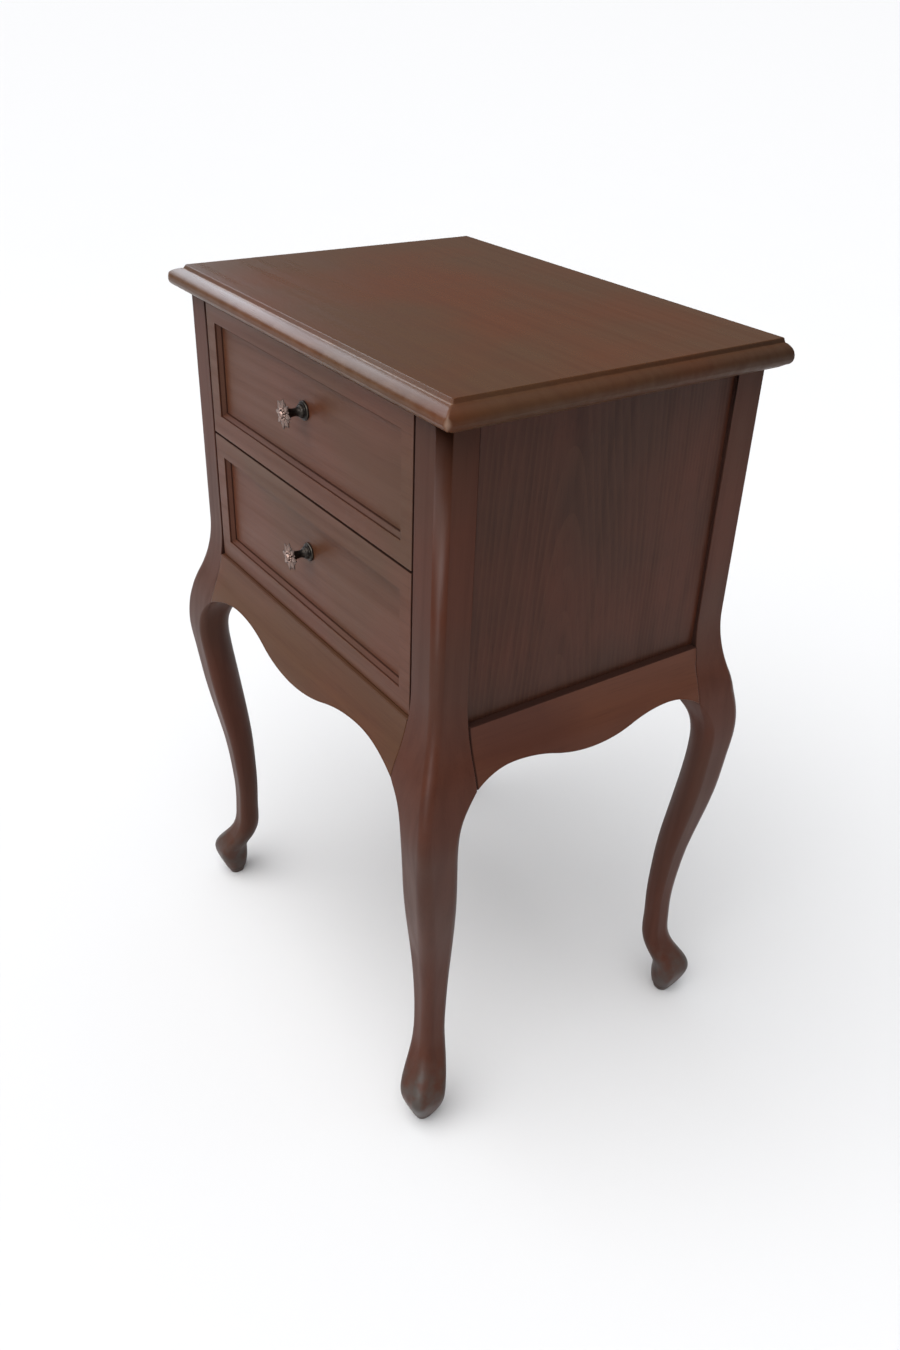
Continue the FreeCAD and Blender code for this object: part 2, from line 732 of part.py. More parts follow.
def make_drawer_stops():
    body = new_body("drawer_stops")
    for level in (divider_level, bottom_level):
        for side in (-1, 1):
            box_in(body, "stop", "Additive", mirrored(side, runner_face, runner_face + s.stop_width),
                   (stop_face, rear_post_face), (level[1], level[1] + s.stop_height))


def make_corner_blocks():
    """Glue blocks behind the front and rear aprons, against the posts."""
    body = new_body("corner_blocks")
    front_inner = front_y + s.front_apron_thickness
    z_span = (bottom_level[0] - s.block_height, bottom_level[0])
    front_span = (front_inner, front_inner + s.block_size)
    rear_span = (rear_apron_face - s.block_size, rear_apron_face)
    for y_span in (front_span, rear_span):
        for side in (-1, 1):
            box_in(body, "block", "Additive", mirrored(side, post_inner - s.block_size, post_inner),
                   y_span, z_span)


def rectangle(body, name, x_span, z_span, y):
    """A rectangle that faces the front."""
    points = [(x_span[0], z_span[0]), (x_span[1], z_span[0]), (x_span[1], z_span[1]), (x_span[0], z_span[1])]
    return outline(body, name, "XZ_Plane", points, -y)


def bottom_span(box_level):
    return box_level[0] + s.bottom_rise, box_level[0] + s.bottom_rise + s.bottom_thickness


def make_drawer_front(name, level, border_top, box_level, knob_height):
    """A board with softened edges and a stepped, sloping recess, grooved behind for the drawer's box."""
    body = new_body(name + "_drawer_front")
    board = box_in(body, "board", "Additive", (-drawer_half, drawer_half), (drawer_face, drawer_front_back),
                   level)
    doc.recompute()
    edges = ["Edge%d" % number for number, edge in enumerate(board.Shape.Edges, start=1)
             if all(abs(point.Y - drawer_face.number) < TINY for point in edge.Vertexes)]
    softened = body.newObject("PartDesign::Fillet", "softened_edges")
    softened.Base = (board, edges)
    bind(softened, "Radius", s.front_edge_round)
    border = drawer_half - s.border_side
    x_span = (-border, border)
    z_span = (level[0] + s.border_bottom, level[1] - border_top)
    step_face = drawer_face + s.step_depth
    slope_face = step_face + s.slope_depth
    box_in(body, "recess_step", "Subtractive", x_span, (drawer_face - s.overrun, step_face), z_span)
    inner_x, inner_z = grown(x_span, -s.slope_width), grown(z_span, -s.slope_width)
    slope = [rectangle(body, "slope_top", x_span, z_span, step_face),
             rectangle(body, "slope_foot", inner_x, inner_z, slope_face)]
    loft(body, "recess_slope", "Subtractive", slope, True)
    box_in(body, "recess_field", "Subtractive", inner_x, (slope_face, field_face), inner_z)
    for side in (-1, 1):
        box_in(body, "side_housing", "Subtractive",
               mirrored(side, *grown((box_inner, box_outer), s.tenon_gap)),
               (box_front - s.tenon_gap, drawer_front_back + s.overrun), grown(box_level, s.tenon_gap))
    box_in(body, "bottom_groove", "Subtractive", (-box_inner, box_inner),
           (drawer_front_back - s.box_groove - s.tenon_gap, drawer_front_back + s.overrun),
           grown(bottom_span(box_level), s.tenon_gap))
    cylinder_in(body, "knob_hole", "Subtractive", s.machine_screw_radius + s.screw_gap,
                s.front_thickness + s.overrun * 2, (ZERO, drawer_front_back + s.overrun, knob_height),
                TOWARDS_FRONT)


def make_drawer_box(name, box_level):
    """Two sides let into the front, a back let into the sides, and a bottom in grooves."""
    bottom_z = bottom_span(box_level)
    back_y = (box_rear - s.box_back_inset - s.box_thickness, box_rear - s.box_back_inset)
    back_z = (bottom_z[1], box_level[1] - s.box_back_drop)
    for side, side_name in ((-1, "left"), (1, "right")):
        body = new_body("%s_drawer_side_%s" % (name, side_name))
        box_in(body, "board", "Additive", mirrored(side, box_inner, box_outer), (box_front, box_rear),
               box_level)
        groove_x = mirrored(side, box_inner - s.overrun, box_inner + s.box_groove + s.tenon_gap)
        box_in(body, "bottom_groove", "Subtractive", groove_x,
               (drawer_front_back - s.tenon_gap, box_rear + s.overrun), grown(bottom_z, s.tenon_gap))
        box_in(body, "back_housing", "Subtractive", groove_x, grown(back_y, s.tenon_gap),
               (back_z[0], box_level[1] + s.overrun))
    reach = box_inner + s.box_groove
    back = new_body(name + "_drawer_back")
    box_in(back, "board", "Additive", (-reach, reach), back_y, back_z)
    bottom = new_body(name + "_drawer_bottom")
    box_in(bottom, "board", "Additive", (-reach, reach), (drawer_front_back, box_rear), bottom_z)
    box_in(bottom, "front_tongue", "Additive", (-box_inner, box_inner),
           (drawer_front_back - s.box_groove, drawer_front_back), bottom_z)


def round_pattern(body, name, feature):
    pattern = body.newObject("PartDesign::PolarPattern", name)
    pattern.Originals = [feature]
    pattern.Axis = (origin_part(body, "Z_Axis"), [""])
    pattern.Angle = 360
    pattern.Occurrences = PETAL_COUNT
    body.Tip = pattern


def make_rosette(name, knob_height):
    """Petals round a plate, a hole between each pair, a raised boss and a pin behind."""
    body = new_body(name + "_knob_rosette", ZERO, field_face - s.knob_base_length, knob_height, TOWARDS_FRONT)
    radius = s.rosette_radius
    cylinder_in(body, "plate", "Additive", radius * ROSETTE_PLATE_SHARE, s.rosette_thickness,
                (ZERO, ZERO, ZERO))
    petal = cylinder_in(body, "petal", "Additive", radius * PETAL_SHARE, s.rosette_thickness,
                        (radius * (1 - PETAL_SHARE), ZERO, ZERO))
    round_pattern(body, "petals", petal)
    half_step = math.pi / PETAL_COUNT
    across, up = (PETAL_HOLE_PLACE_SHARE * part for part in (math.cos(half_step), math.sin(half_step)))
    hole = cylinder_in(body, "petal_hole", "Subtractive", radius * PETAL_HOLE_SHARE,
                       s.rosette_thickness + s.overrun * 2, (radius * across, radius * up, -s.overrun))
    round_pattern(body, "petal_holes", hole)
    cone_in(body, "boss", "Additive", (radius * ROSETTE_BOSS_SHARE, radius * (ROSETTE_BOSS_SHARE / 2)),
            s.rosette_boss_height, (ZERO, ZERO, s.rosette_thickness))
    cylinder_in(body, "pin", "Additive", s.rosette_pin_radius, s.rosette_pin_length,
                (ZERO, ZERO, -s.rosette_pin_length))


def make_knob(name, knob_height):
    """A turned base, a pierced rosette pinned on it, and the screw that holds them to the drawer."""
    base = new_body(name + "_knob_base", ZERO, field_face, knob_height, TOWARDS_FRONT)
    points = [(ZERO, ZERO)]
    for along, across, bend in KNOB_BASE_SHARES:
        spot = (s.knob_base_radius * across, s.knob_base_length * along)
        if bend is not None:
            spot += (s.knob_base_radius * abs(bend), 1 if bend > 0 else -1)
        points.append(spot)
    points.append((ZERO, s.knob_base_length))
    profile = outline(base, "base_profile", "XZ_Plane", points)
    turned = base.newObject("PartDesign::Revolution", "turned_base")
    turned.Profile = profile
    turned.ReferenceAxis = (profile, ["V_Axis"])
    turned.Angle = 360
    cylinder_in(base, "screw_hole", "Subtractive", s.machine_screw_radius + s.screw_gap,
                s.machine_screw_grip + s.screw_gap + s.overrun, (ZERO, ZERO, -s.overrun))
    cylinder_in(base, "pin_hole", "Subtractive", s.rosette_pin_radius + s.screw_gap,
                s.rosette_pin_length + s.screw_gap + s.overrun,
                (ZERO, ZERO, s.knob_base_length - s.rosette_pin_length - s.screw_gap))
    make_rosette(name, knob_height)
    front_inside = s.field_depth - s.front_thickness
    screw = new_body(name + "_knob_screw", ZERO, field_face, knob_height, TOWARDS_FRONT)
    cylinder_in(screw, "head", "Additive", s.machine_head_radius, s.machine_head_height,
                (ZERO, ZERO, front_inside - s.machine_head_height))
    cylinder_in(screw, "shank", "Additive", s.machine_screw_radius, s.machine_screw_grip - front_inside,
                (ZERO, ZERO, front_inside))


def make_drawer(name, level, border_top, box_level):
    field_low, field_high = level[0] + s.border_bottom, level[1] - border_top
    knob_room = (field_high - field_low) / 2 - s.slope_width - s.knob_base_radius
    knob_height = (field_low + field_high) / 2 + knob_room * KNOB_RISE_SHARES[name]
    make_drawer_front(name, level, border_top, box_level, knob_height)
    make_drawer_box(name, box_level)
    make_knob(name, knob_height)


make_top_panel()
make_leg("leg_rear_right", 1, 1, 0)
make_leg("leg_rear_left", -1, 1, 1)
make_leg("leg_front_left", -1, -1, 2)
make_leg("leg_front_right", 1, -1, 3)
make_back_panel()
make_front_apron()
make_rear_apron()
front_rail_span = (rail_face, rail_back)
rear_rail_span = (rear_rail_face, back_inner)
make_rail("top_front_rail", front_rail_span, front_rail_tenon, top_level, FRONT_SCREWS)
make_rail("drawer_divider_rail", front_rail_span, front_rail_tenon, divider_level)
make_rail("bottom_front_rail", front_rail_span, front_rail_tenon, bottom_level)
make_rail("top_rear_rail", rear_rail_span, rear_rail_tenon, top_level, REAR_SCREWS)
make_rail("rear_divider_rail", rear_rail_span, rear_rail_tenon, divider_level)
make_rail("bottom_rear_rail", rear_rail_span, rear_rail_tenon, bottom_level)
for side, side_name in ((-1, "left"), (1, "right")):
    make_side_panel("side_panel_" + side_name, side)
    make_side_apron("side_apron_" + side_name, side)
    make_top_cleat("top_cleat_" + side_name, side)
    make_runner_and_guide("upper", side_name, side, divider_level)
    make_runner_and_guide("lower", side_name, side, bottom_level)
make_drawer_stops()
make_corner_blocks()
make_top_screws()
make_drawer("upper", upper_front, s.upper_border_top, upper_box)
make_drawer("lower", lower_front, s.border_top, lower_box)

doc.recompute()
for item in doc.Objects:
    if "Invalid" in item.State or "Error" in item.State:
        raise RuntimeError("%s did not compute: %s" % (item.Label, item.State))

os.makedirs("parts", exist_ok=True)
for body in doc.findObjects("PartDesign::Body"):
    shape = body.Shape
    if shape.isNull() or not shape.isValid() or not shape.Solids:
        raise RuntimeError("%s has no sound shape" % body.Label)
    shape.exportStep(os.path.join("parts", body.Label + ".step"))
    print(body.Label, len(shape.Solids), round(shape.Volume))
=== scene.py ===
import math

import bpy
import numpy as np
from bpy.props import FloatProperty, FloatVectorProperty, PointerProperty
from mathutils import Matrix, Vector


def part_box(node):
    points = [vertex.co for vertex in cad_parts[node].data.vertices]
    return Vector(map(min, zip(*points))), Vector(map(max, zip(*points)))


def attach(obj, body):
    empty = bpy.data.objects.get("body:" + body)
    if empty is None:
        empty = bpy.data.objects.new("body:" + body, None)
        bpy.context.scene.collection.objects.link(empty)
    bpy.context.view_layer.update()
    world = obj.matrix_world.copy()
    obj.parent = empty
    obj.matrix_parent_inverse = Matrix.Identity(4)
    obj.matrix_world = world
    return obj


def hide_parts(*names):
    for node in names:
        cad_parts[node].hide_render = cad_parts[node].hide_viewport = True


bl_info = {
    "name": "Two-drawer nightstand",
    "version": (1, 0, 0),
    "blender": (4, 5, 0),
    "location": "3D View > Sidebar > Nightstand",
    "description": "Builds the look of a small stained-wood nightstand around its solid model",
    "category": "Object",
}

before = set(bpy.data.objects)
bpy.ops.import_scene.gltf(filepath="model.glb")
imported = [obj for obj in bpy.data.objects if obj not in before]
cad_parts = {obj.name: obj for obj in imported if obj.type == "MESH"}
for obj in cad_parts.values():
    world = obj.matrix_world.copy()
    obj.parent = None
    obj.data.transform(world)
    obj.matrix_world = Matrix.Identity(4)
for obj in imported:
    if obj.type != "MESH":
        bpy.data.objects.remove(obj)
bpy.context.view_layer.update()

MM = 0.001

# The heart line of a board that is sawn far from it, so its grain runs nearly straight
FAR_HEART = (0.1, 0.1, -0.3)

# One section of the leg per row, from just under the apron's end down to the floor: height as a share of
# the leg's height, reach and splay as shares of the knee's reach and of the rear legs' splay, width as a
# share of the knee's width, and the outer, side and inner corner rounds as shares of the section's width.
LEG_SECTION_SHARES = (
    (0.9700, 0.890, 0.00, 1.140, 0.19, 0.10, 0.28),
    (0.9350, 0.969, 0.05, 1.030, 0.21, 0.16, 0.46),
    (0.8890, 1.000, 0.12, 0.978, 0.24, 0.20, 0.62),
    (0.8220, 0.900, 0.40, 0.960, 0.28, 0.22, 0.75),
    (0.7200, 0.713, 0.80, 0.953, 0.31, 0.23, 0.75),
    (0.6090, 0.430, 0.95, 0.880, 0.35, 0.24, 0.71),
    (0.5120, 0.165, 1.00, 0.776, 0.38, 0.25, 0.64),
    (0.4200, -0.001, 1.00, 0.684, 0.39, 0.26, 0.57),
    (0.3290, -0.089, 1.00, 0.629, 0.39, 0.27, 0.55),
    (0.2530, -0.063, 1.00, 0.629, 0.38, 0.28, 0.57),
    (0.1990, 0.042, 0.98, 0.700, 0.36, 0.29, 0.63),
    (0.1620, 0.279, 0.95, 0.795, 0.32, 0.30, 0.67),
    (0.1350, 0.560, 0.88, 0.875, 0.29, 0.30, 0.68),
    (0.1105, 0.800, 0.80, 0.927, 0.27, 0.30, 0.68),
    (0.0890, 0.886, 0.75, 0.932, 0.27, 0.30, 0.68),
    (0.0650, 0.822, 0.75, 0.880, 0.28, 0.31, 0.66),
    (0.0270, 0.590, 0.75, 0.650, 0.34, 0.34, 0.54),
    (0.0000, 0.389, 0.75, 0.430, 0.38, 0.38, 0.42),
)

# The top's edge moulding from the flat top down to the underside: share of the moulding's width in from
# the edge, share of the top's thickness down, and the radius of a round part as a share of the width.
MOULDING_SHARES = (
    (1.000, 0.000, None),
    (0.846, 0.147, None),
    (0.277, 0.247, 1.320),
    (0.000, 0.524, 0.554),
    (0.000, 0.578, None),
    (0.438, 0.818, 0.580),
    (1.000, 1.000, None),
)

# The knob's turned base: share of its length out from the drawer, share of its radius, and the bend of a
# curved part as a share of that radius, below zero where it is hollow.
KNOB_BASE_SHARES = (
    (0.000, 1.00, None),
    (0.050, 1.00, None),
    (0.110, 0.93, 0.167),
    (0.135, 0.76, None),
    (0.160, 0.72, None),
    (0.330, 0.52, 0.450),
    (0.552, 0.40, -0.900),
    (0.872, 0.59, -1.385),
    (0.907, 0.69, None),
    (1.000, 0.69, None),
)


def linear(hex_value):
    """An sRGB hex value as a linear colour with full alpha."""
    part = np.array([int(hex_value[i:i + 2], 16) for i in (0, 2, 4)]) / 255
    part = np.where(part <= 0.04045, part / 12.92, ((part + 0.055) / 1.055) ** 2.4)
    return (*part.tolist(), 1.0)


def length(description, millimetres):
    return FloatProperty(description=description, default=millimetres * MM, unit="LENGTH")


def colour(description, hex_value):
    return FloatVectorProperty(description=description, default=linear(hex_value), size=4, subtype="COLOR",
                               min=0, max=1)


class NightstandSizes(bpy.types.PropertyGroup):
    height: length("From the floor to the flat top", 680)
    case_width: length("Across the posts", 400)
    case_depth: length("From the front posts' face to the rear posts'", 294.5)
    top_width: length("Across the moulded edges", 440)
    top_thickness: length("Of the board", 22.5)
    front_overhang: length("Of the top past the posts", 11.2)
    rear_overhang: length("Of the top past the posts", 6.3)
    corner_round: length("Of the top's front corners", 5)
    moulding_width: length("In from the top's edge", 13)
    post_width: length("Across the case", 32.5)
    front_post_depth: length("From front to back", 30)
    rear_post_depth: length("From front to back", 28.5)
    front_post_round: length("Of the outer arris", 8.8)
    rear_post_round: length("Of the outer arris", 1.5)
    knee_round: length("Of the outer arris at the knee", 8.8)
    leg_height: length("From the floor to the aprons' ends", 371)
    knee_rise: length("Of the flare above the leg", 77)
    knee_drop: length("From the leg's top to the knee's fullest point", 38)
    knee_reach: length("How far the knee stands out", 22.2)
    knee_width: length("Which the leg's sections are shares of", 38)
    sole_height: length("Of the fine ledge round the foot", 7)
    rear_splay: length("What the rear legs stand out more", 3.8)
    back_inset: length("Of the back board from the posts' faces", 2)
    back_thickness: length("Of the back board", 5)
    back_rebate: length("Into each rear post", 8.1)
    back_lap: length("Of the back board below the apron's top", 7)
    apron_height: length("Above the leg's top", 49)
    apron_thickness: length("Of the front apron", 18)
    panel_recess: length("Of the side panels behind the posts", 3.5)
    panel_thickness: length("Of the side panels", 10)
    drawer_side_gap: length("Beside each drawer", 2.4)
    border_side: length("Of a drawer front beside its recess", 15)
    border_bottom: length("Of a drawer front under its recess", 17.5)
    border_top: length("Of the lower drawer front above its recess", 18.5)
    upper_border_top: length("Of the upper drawer front above its recess", 12.5)
    drawer_setback: length("Of the fronts' faces behind the posts'", 0.4)
    front_thickness: length("Of a drawer's front board", 18)
    field_depth: length("Of a drawer front's recess", 5.5)
    arris: length("How far sharp edges are rubbed round", 0.8)
    knob_base_radius: length("Of the turned foot", 7.8)
    knob_base_length: length("Out from the drawer", 17.2)
    rosette_radius: length("Of the cast flower", 12)
    rosette_thickness: length("Of its plate", 2.4)


class NightstandFinish(bpy.types.PropertyGroup):
    stain: colour("The stained wood between its lines", "5B3423")
    stain_dark: colour("The grain lines of the stained wood", "3C1C10")
    top_stain: colour("The top board's wood, faded to olive by daylight", "50331C")
    top_cloud: colour("Redder clouds in the top board", "582E12")
    # Paler and greyer than the rubbed stain: chips and rubbed arrises, and a painted highlight on the
    # moulding's arrises
    chipped: colour("Where the top's moulding is worn or knocked", "A08674")
    stain_olive: colour("Cooler clouds in the stained wood", "533521")
    leg_stain: colour("The legs' wood, stained a little deeper", "4E2A1D")
    leg_cloud: colour("Cooler clouds in the legs' wood", "482B1F")
    # Partly the feet's scuffs, partly a painted grey sheen and the toe's painted highlight; the legs' rubbed
    # arrises take this colour too
    scuffed: colour("Where shoes and mops have dulled the feet", "4A423E")
    side_stain: colour("The side panels' wood", "3E2419")
    side_cloud: colour("Redder clouds in the side panels' wood", "4B271A")
    side_line: colour("The pale growth lines of the side panels", "6E4A36")
    side_dark: colour("The side panels' pores", "26120C")
    # Painted shade, in the colour of gathered stain: laid in the drawer fronts' recesses and gaps, on the
    # legs' inner faces and foot ledge, on the aprons' top ledges and seam, and on the top's right moulding
    pooled: colour("Where the stain gathers in corners", "28130C")
    rubbed: colour("Where the stain is worn thin", "80594A")
    inner_wood: colour("Rails and runners", "9C7A56")
    inner_grain: colour("The grain lines of rails and runners", "6E5136")
    box_wood: colour("The drawers' boxes", "B8946A")
    box_grain: colour("The grain lines of the drawers' boxes", "8C6B48")
    bronze: colour("The knob's turned base", "4A443D")
    bronze_dull: colour("The base where it is tarnished", "1B1715")
    copper: colour("The rosette's high spots", "987F75")
    tarnish: colour("The rosette's hollows", "2C2320")
    steel: colour("The screws", "B9B6AE")
    steel_dull: colour("The screws where they are dull", "7E7B74")
    floor: colour("The plain floor", "DDDEE0")


def smooth_spline(knots, values, at):
    """The natural cubic spline through values at rising knots: its second derivatives solve one banded
    system, and every point is the usual cubic blend of its two neighbours."""
    knots, values = np.asarray(knots, float), np.asarray(values, float)
    gap = np.diff(knots)
    count = len(knots)
    system, right = np.eye(count), np.zeros((count, values.shape[1]))
    inner = np.arange(1, count - 1)
    system[inner, inner] = 2 * (gap[:-1] + gap[1:])
    system[inner, inner - 1], system[inner, inner + 1] = gap[:-1], gap[1:]
    slope = np.diff(values, axis=0) / gap[:, None]
    right[1:-1] = 6 * np.diff(slope, axis=0)
    bend = np.linalg.solve(system, right)
    place = np.clip(np.searchsorted(knots, at) - 1, 0, count - 2)
    step = gap[place][:, None]
    after = ((at - knots[place])[:, None]) / step
    before = 1 - after
    return (before * values[place] + after * values[place + 1]
            + ((before ** 3 - before) * bend[place] + (after ** 3 - after) * bend[place + 1]) * step ** 2 / 6)


def rubbed_path(corners, cuts, steps):
    """An open run of straight lines with its inner corners eased: between the two points a cut's length
    away from a corner runs the parabola that the corner pulls. Returns the points, and for each how near
    it is to the middle of its easing."""
    corners, cuts = np.asarray(corners, float), np.asarray(cuts, float)[1:-1, None]
    line = np.diff(corners, axis=0)
    line /= np.linalg.norm(line, axis=1)[:, None]
    start, end = corners.copy(), corners.copy()
    start[1:-1] -= line[:-1] * cuts
    end[1:-1] += line[1:] * cuts
    t = np.linspace(0, 1, steps)[None, :, None]
    curve = start[:, None] * (1 - t) ** 2 + 2 * corners[:, None] * t * (1 - t) + end[:, None] * t ** 2
    into = np.broadcast_to((4 * t * (1 - t))[..., 0], curve.shape[:2]).copy()
    into[[0, -1]] = 0
    return curve.reshape(-1, corners.shape[1]), into.reshape(-1)


def half_chord(radius, offset):
    """Half the chord that a circle has at an offset from its middle, or nothing past its edge."""
    return np.sqrt(np.maximum(radius ** 2 - offset ** 2, 0))


def arc_run(shares, along, across, bend, steps=9):
    """A profile of straight and round runs: each row of shares ends one run, and a round one follows the
    circle of its radius through both ends, on the side that the radius's sign gives."""
    spots = [(row[0] * along, row[1] * across) for row in shares]
    points = [np.array([spots[0]])]
    for (start, end), row in zip(zip(spots, spots[1:]), shares[1:]):
        start, end = np.array(start), np.array(end)
        t = np.linspace(0, 1, steps)[1:, None]
        if row[2] is None:
            points.append(start + (end - start) * t)
            continue
        radius = abs(row[2]) * bend
        half = (end - start) / 2
        chord = np.hypot(*half)
        rise = half_chord(radius, chord) * math.copysign(1, row[2])
        centre = start + half + np.array([half[1], -half[0]]) / chord * rise
        first = math.atan2(*(start - centre)[::-1])
        swing = (math.atan2(*(end - centre)[::-1]) - first + math.pi) % (2 * math.pi) - math.pi
        angle = first + swing * t[:, 0]
        points.append(centre + radius * np.stack([np.cos(angle), np.sin(angle)], 1))
    return np.concatenate(points)


def grid_faces(rows, columns):
    """Quads between neighbouring rows of a grid of points, and round its columns."""
    row, column = np.meshgrid(np.arange(rows - 1), np.arange(columns), indexing="ij")
    beside = (column + 1) % columns
    quads = np.stack([row * columns + column, row * columns + beside,
                      (row + 1) * columns + beside, (row + 1) * columns + column], -1)
    return quads.reshape(-1, 4)


def add_object(name, data):
    """Puts a new object with its data into the scene."""
    item = bpy.data.objects.new(name, data)
    bpy.context.scene.collection.objects.link(item)
    return item


class Shell:
    """Gathers closed grids of points into one mesh."""

    def __init__(self):
        self.points, self.wear, self.pooled, self.faces = [], [], [], []
        self.count = 0

    def add(self, grid, wear=0.0, pooled=0.0, caps=True):
        """One closed tube: rows of points round a section, each end closed by one face. It is turned the
        right way out by the sign of its volume, the sum of its triangles' corner products."""
        rows, columns = grid.shape[:2]
        quads = grid_faces(rows, columns)
        ends = [np.arange(columns)[::-1], (rows - 1) * columns + np.arange(columns)] if caps else []
        flat = grid.reshape(-1, 3)
        middle = flat.mean(0)
        a, b, c, d = (flat[quads[:, i]] - middle for i in range(4))
        volume = (np.cross(b, c) * a).sum() + (np.cross(c, d) * a).sum()
        if volume < 0:
            quads, ends = quads[:, ::-1], [end[::-1] for end in ends]
        self.faces += (quads + self.count).tolist() + [(end + self.count).tolist() for end in ends]
        self.points.append(flat)
        self.wear.append(np.broadcast_to(wear, (rows, columns)).reshape(-1))
        self.pooled.append(np.broadcast_to(pooled, (rows, columns)).reshape(-1))
        self.count += len(flat)

    def finish(self, name, body, slot, material, *replaced):
        """Makes the mesh and says what it rides on and stands for. Each point's normal is the sum of its
        faces' area vectors, so that flats stay flat and only the eased edges turn."""
        points = np.concatenate(self.points)
        mesh = bpy.data.meshes.new(name)
        mesh.from_pydata(points.tolist(), [], self.faces)
        for label, values in (("wear", self.wear), ("pooled", self.pooled)):
            attribute = mesh.attributes.new(label, "FLOAT", "POINT")
            attribute.data.foreach_set("value", np.concatenate(values).astype(np.float32))
        mesh.shade_smooth()
        sizes = np.array([len(face) for face in self.faces])
        loops = np.concatenate([np.asarray(face) for face in self.faces])
        owner = np.repeat(np.arange(len(sizes)), sizes)
        following = np.arange(len(loops)) + 1
        starts = np.concatenate([[0], np.cumsum(sizes)[:-1]])
        following[starts + sizes - 1] = starts
        pieces = np.cross(points[loops], points[loops[following]])
        area = np.stack([np.bincount(owner, pieces[:, i], len(sizes)) for i in range(3)], 1)
        normal = np.stack([np.bincount(loops, area[owner, i], len(points)) for i in range(3)], 1)
        size = np.linalg.norm(normal, axis=1)[:, None]
        normal = np.where(size > 1e-14, normal / np.maximum(size, 1e-14), (0, 0, 1))
        mesh.normals_split_custom_set_from_vertices(normal.tolist())
        mesh.materials.append(material)
        piece = add_object(name, mesh)
        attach(piece, body)
        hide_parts(*replaced)


def add_node(tree, kind, inputs=(), output=0, **settings):
    """Adds a shader node, sets its settings, sets or links each input, and returns one of its outputs."""
    node = tree.nodes.new("ShaderNode" + kind)
    for name, value in settings.items():
        setattr(node, name, value)
    for key, value in dict(inputs).items():
        if isinstance(value, bpy.types.NodeSocket):
            tree.links.new(value, node.inputs[key])
        else:
            node.inputs[key].default_value = value
    return node.outputs[output] if node.outputs else None


def new_material(name):
    """An empty material, named for what the surface is, with its tree and its shader's inputs."""
    known = bpy.data.materials.get(name)
    if known:
        bpy.data.materials.remove(known)
    material = bpy.data.materials.new(name)
    material.use_nodes = True
    tree = material.node_tree
    tree.nodes.clear()
    surface = add_node(tree, "BsdfPrincipled")
    add_node(tree, "OutputMaterial", {"Surface": surface})
    return material, tree, surface.node.inputs


# The turn that brings each board's grain upright, by the direction that it runs in
UPRIGHT = {"x": (0, -math.pi / 2, 0), "y": (math.pi / 2, 0, 0), "z": (0, 0, 0)}
# Wood's patterns in repeats per metre across the grain. A pore is about 0.1 mm wide, too fine to show, so
# the fibres are drawn 1 mm wide. Then come streaks of 9 mm, rubbed patches of 11 mm, the drift of the rings
# over 70 mm and clouds of stain over 140 mm.
FIBRES, STREAKS, PATCHES, DRIFT, CLOUDS = 900.0, 110.0, 90.0, 14.0, 7.0
# How much they are drawn out along the grain
ALONG_FIBRES, ALONG_DRIFT = (1, 1, 0.025), (1, 1, 0.12)


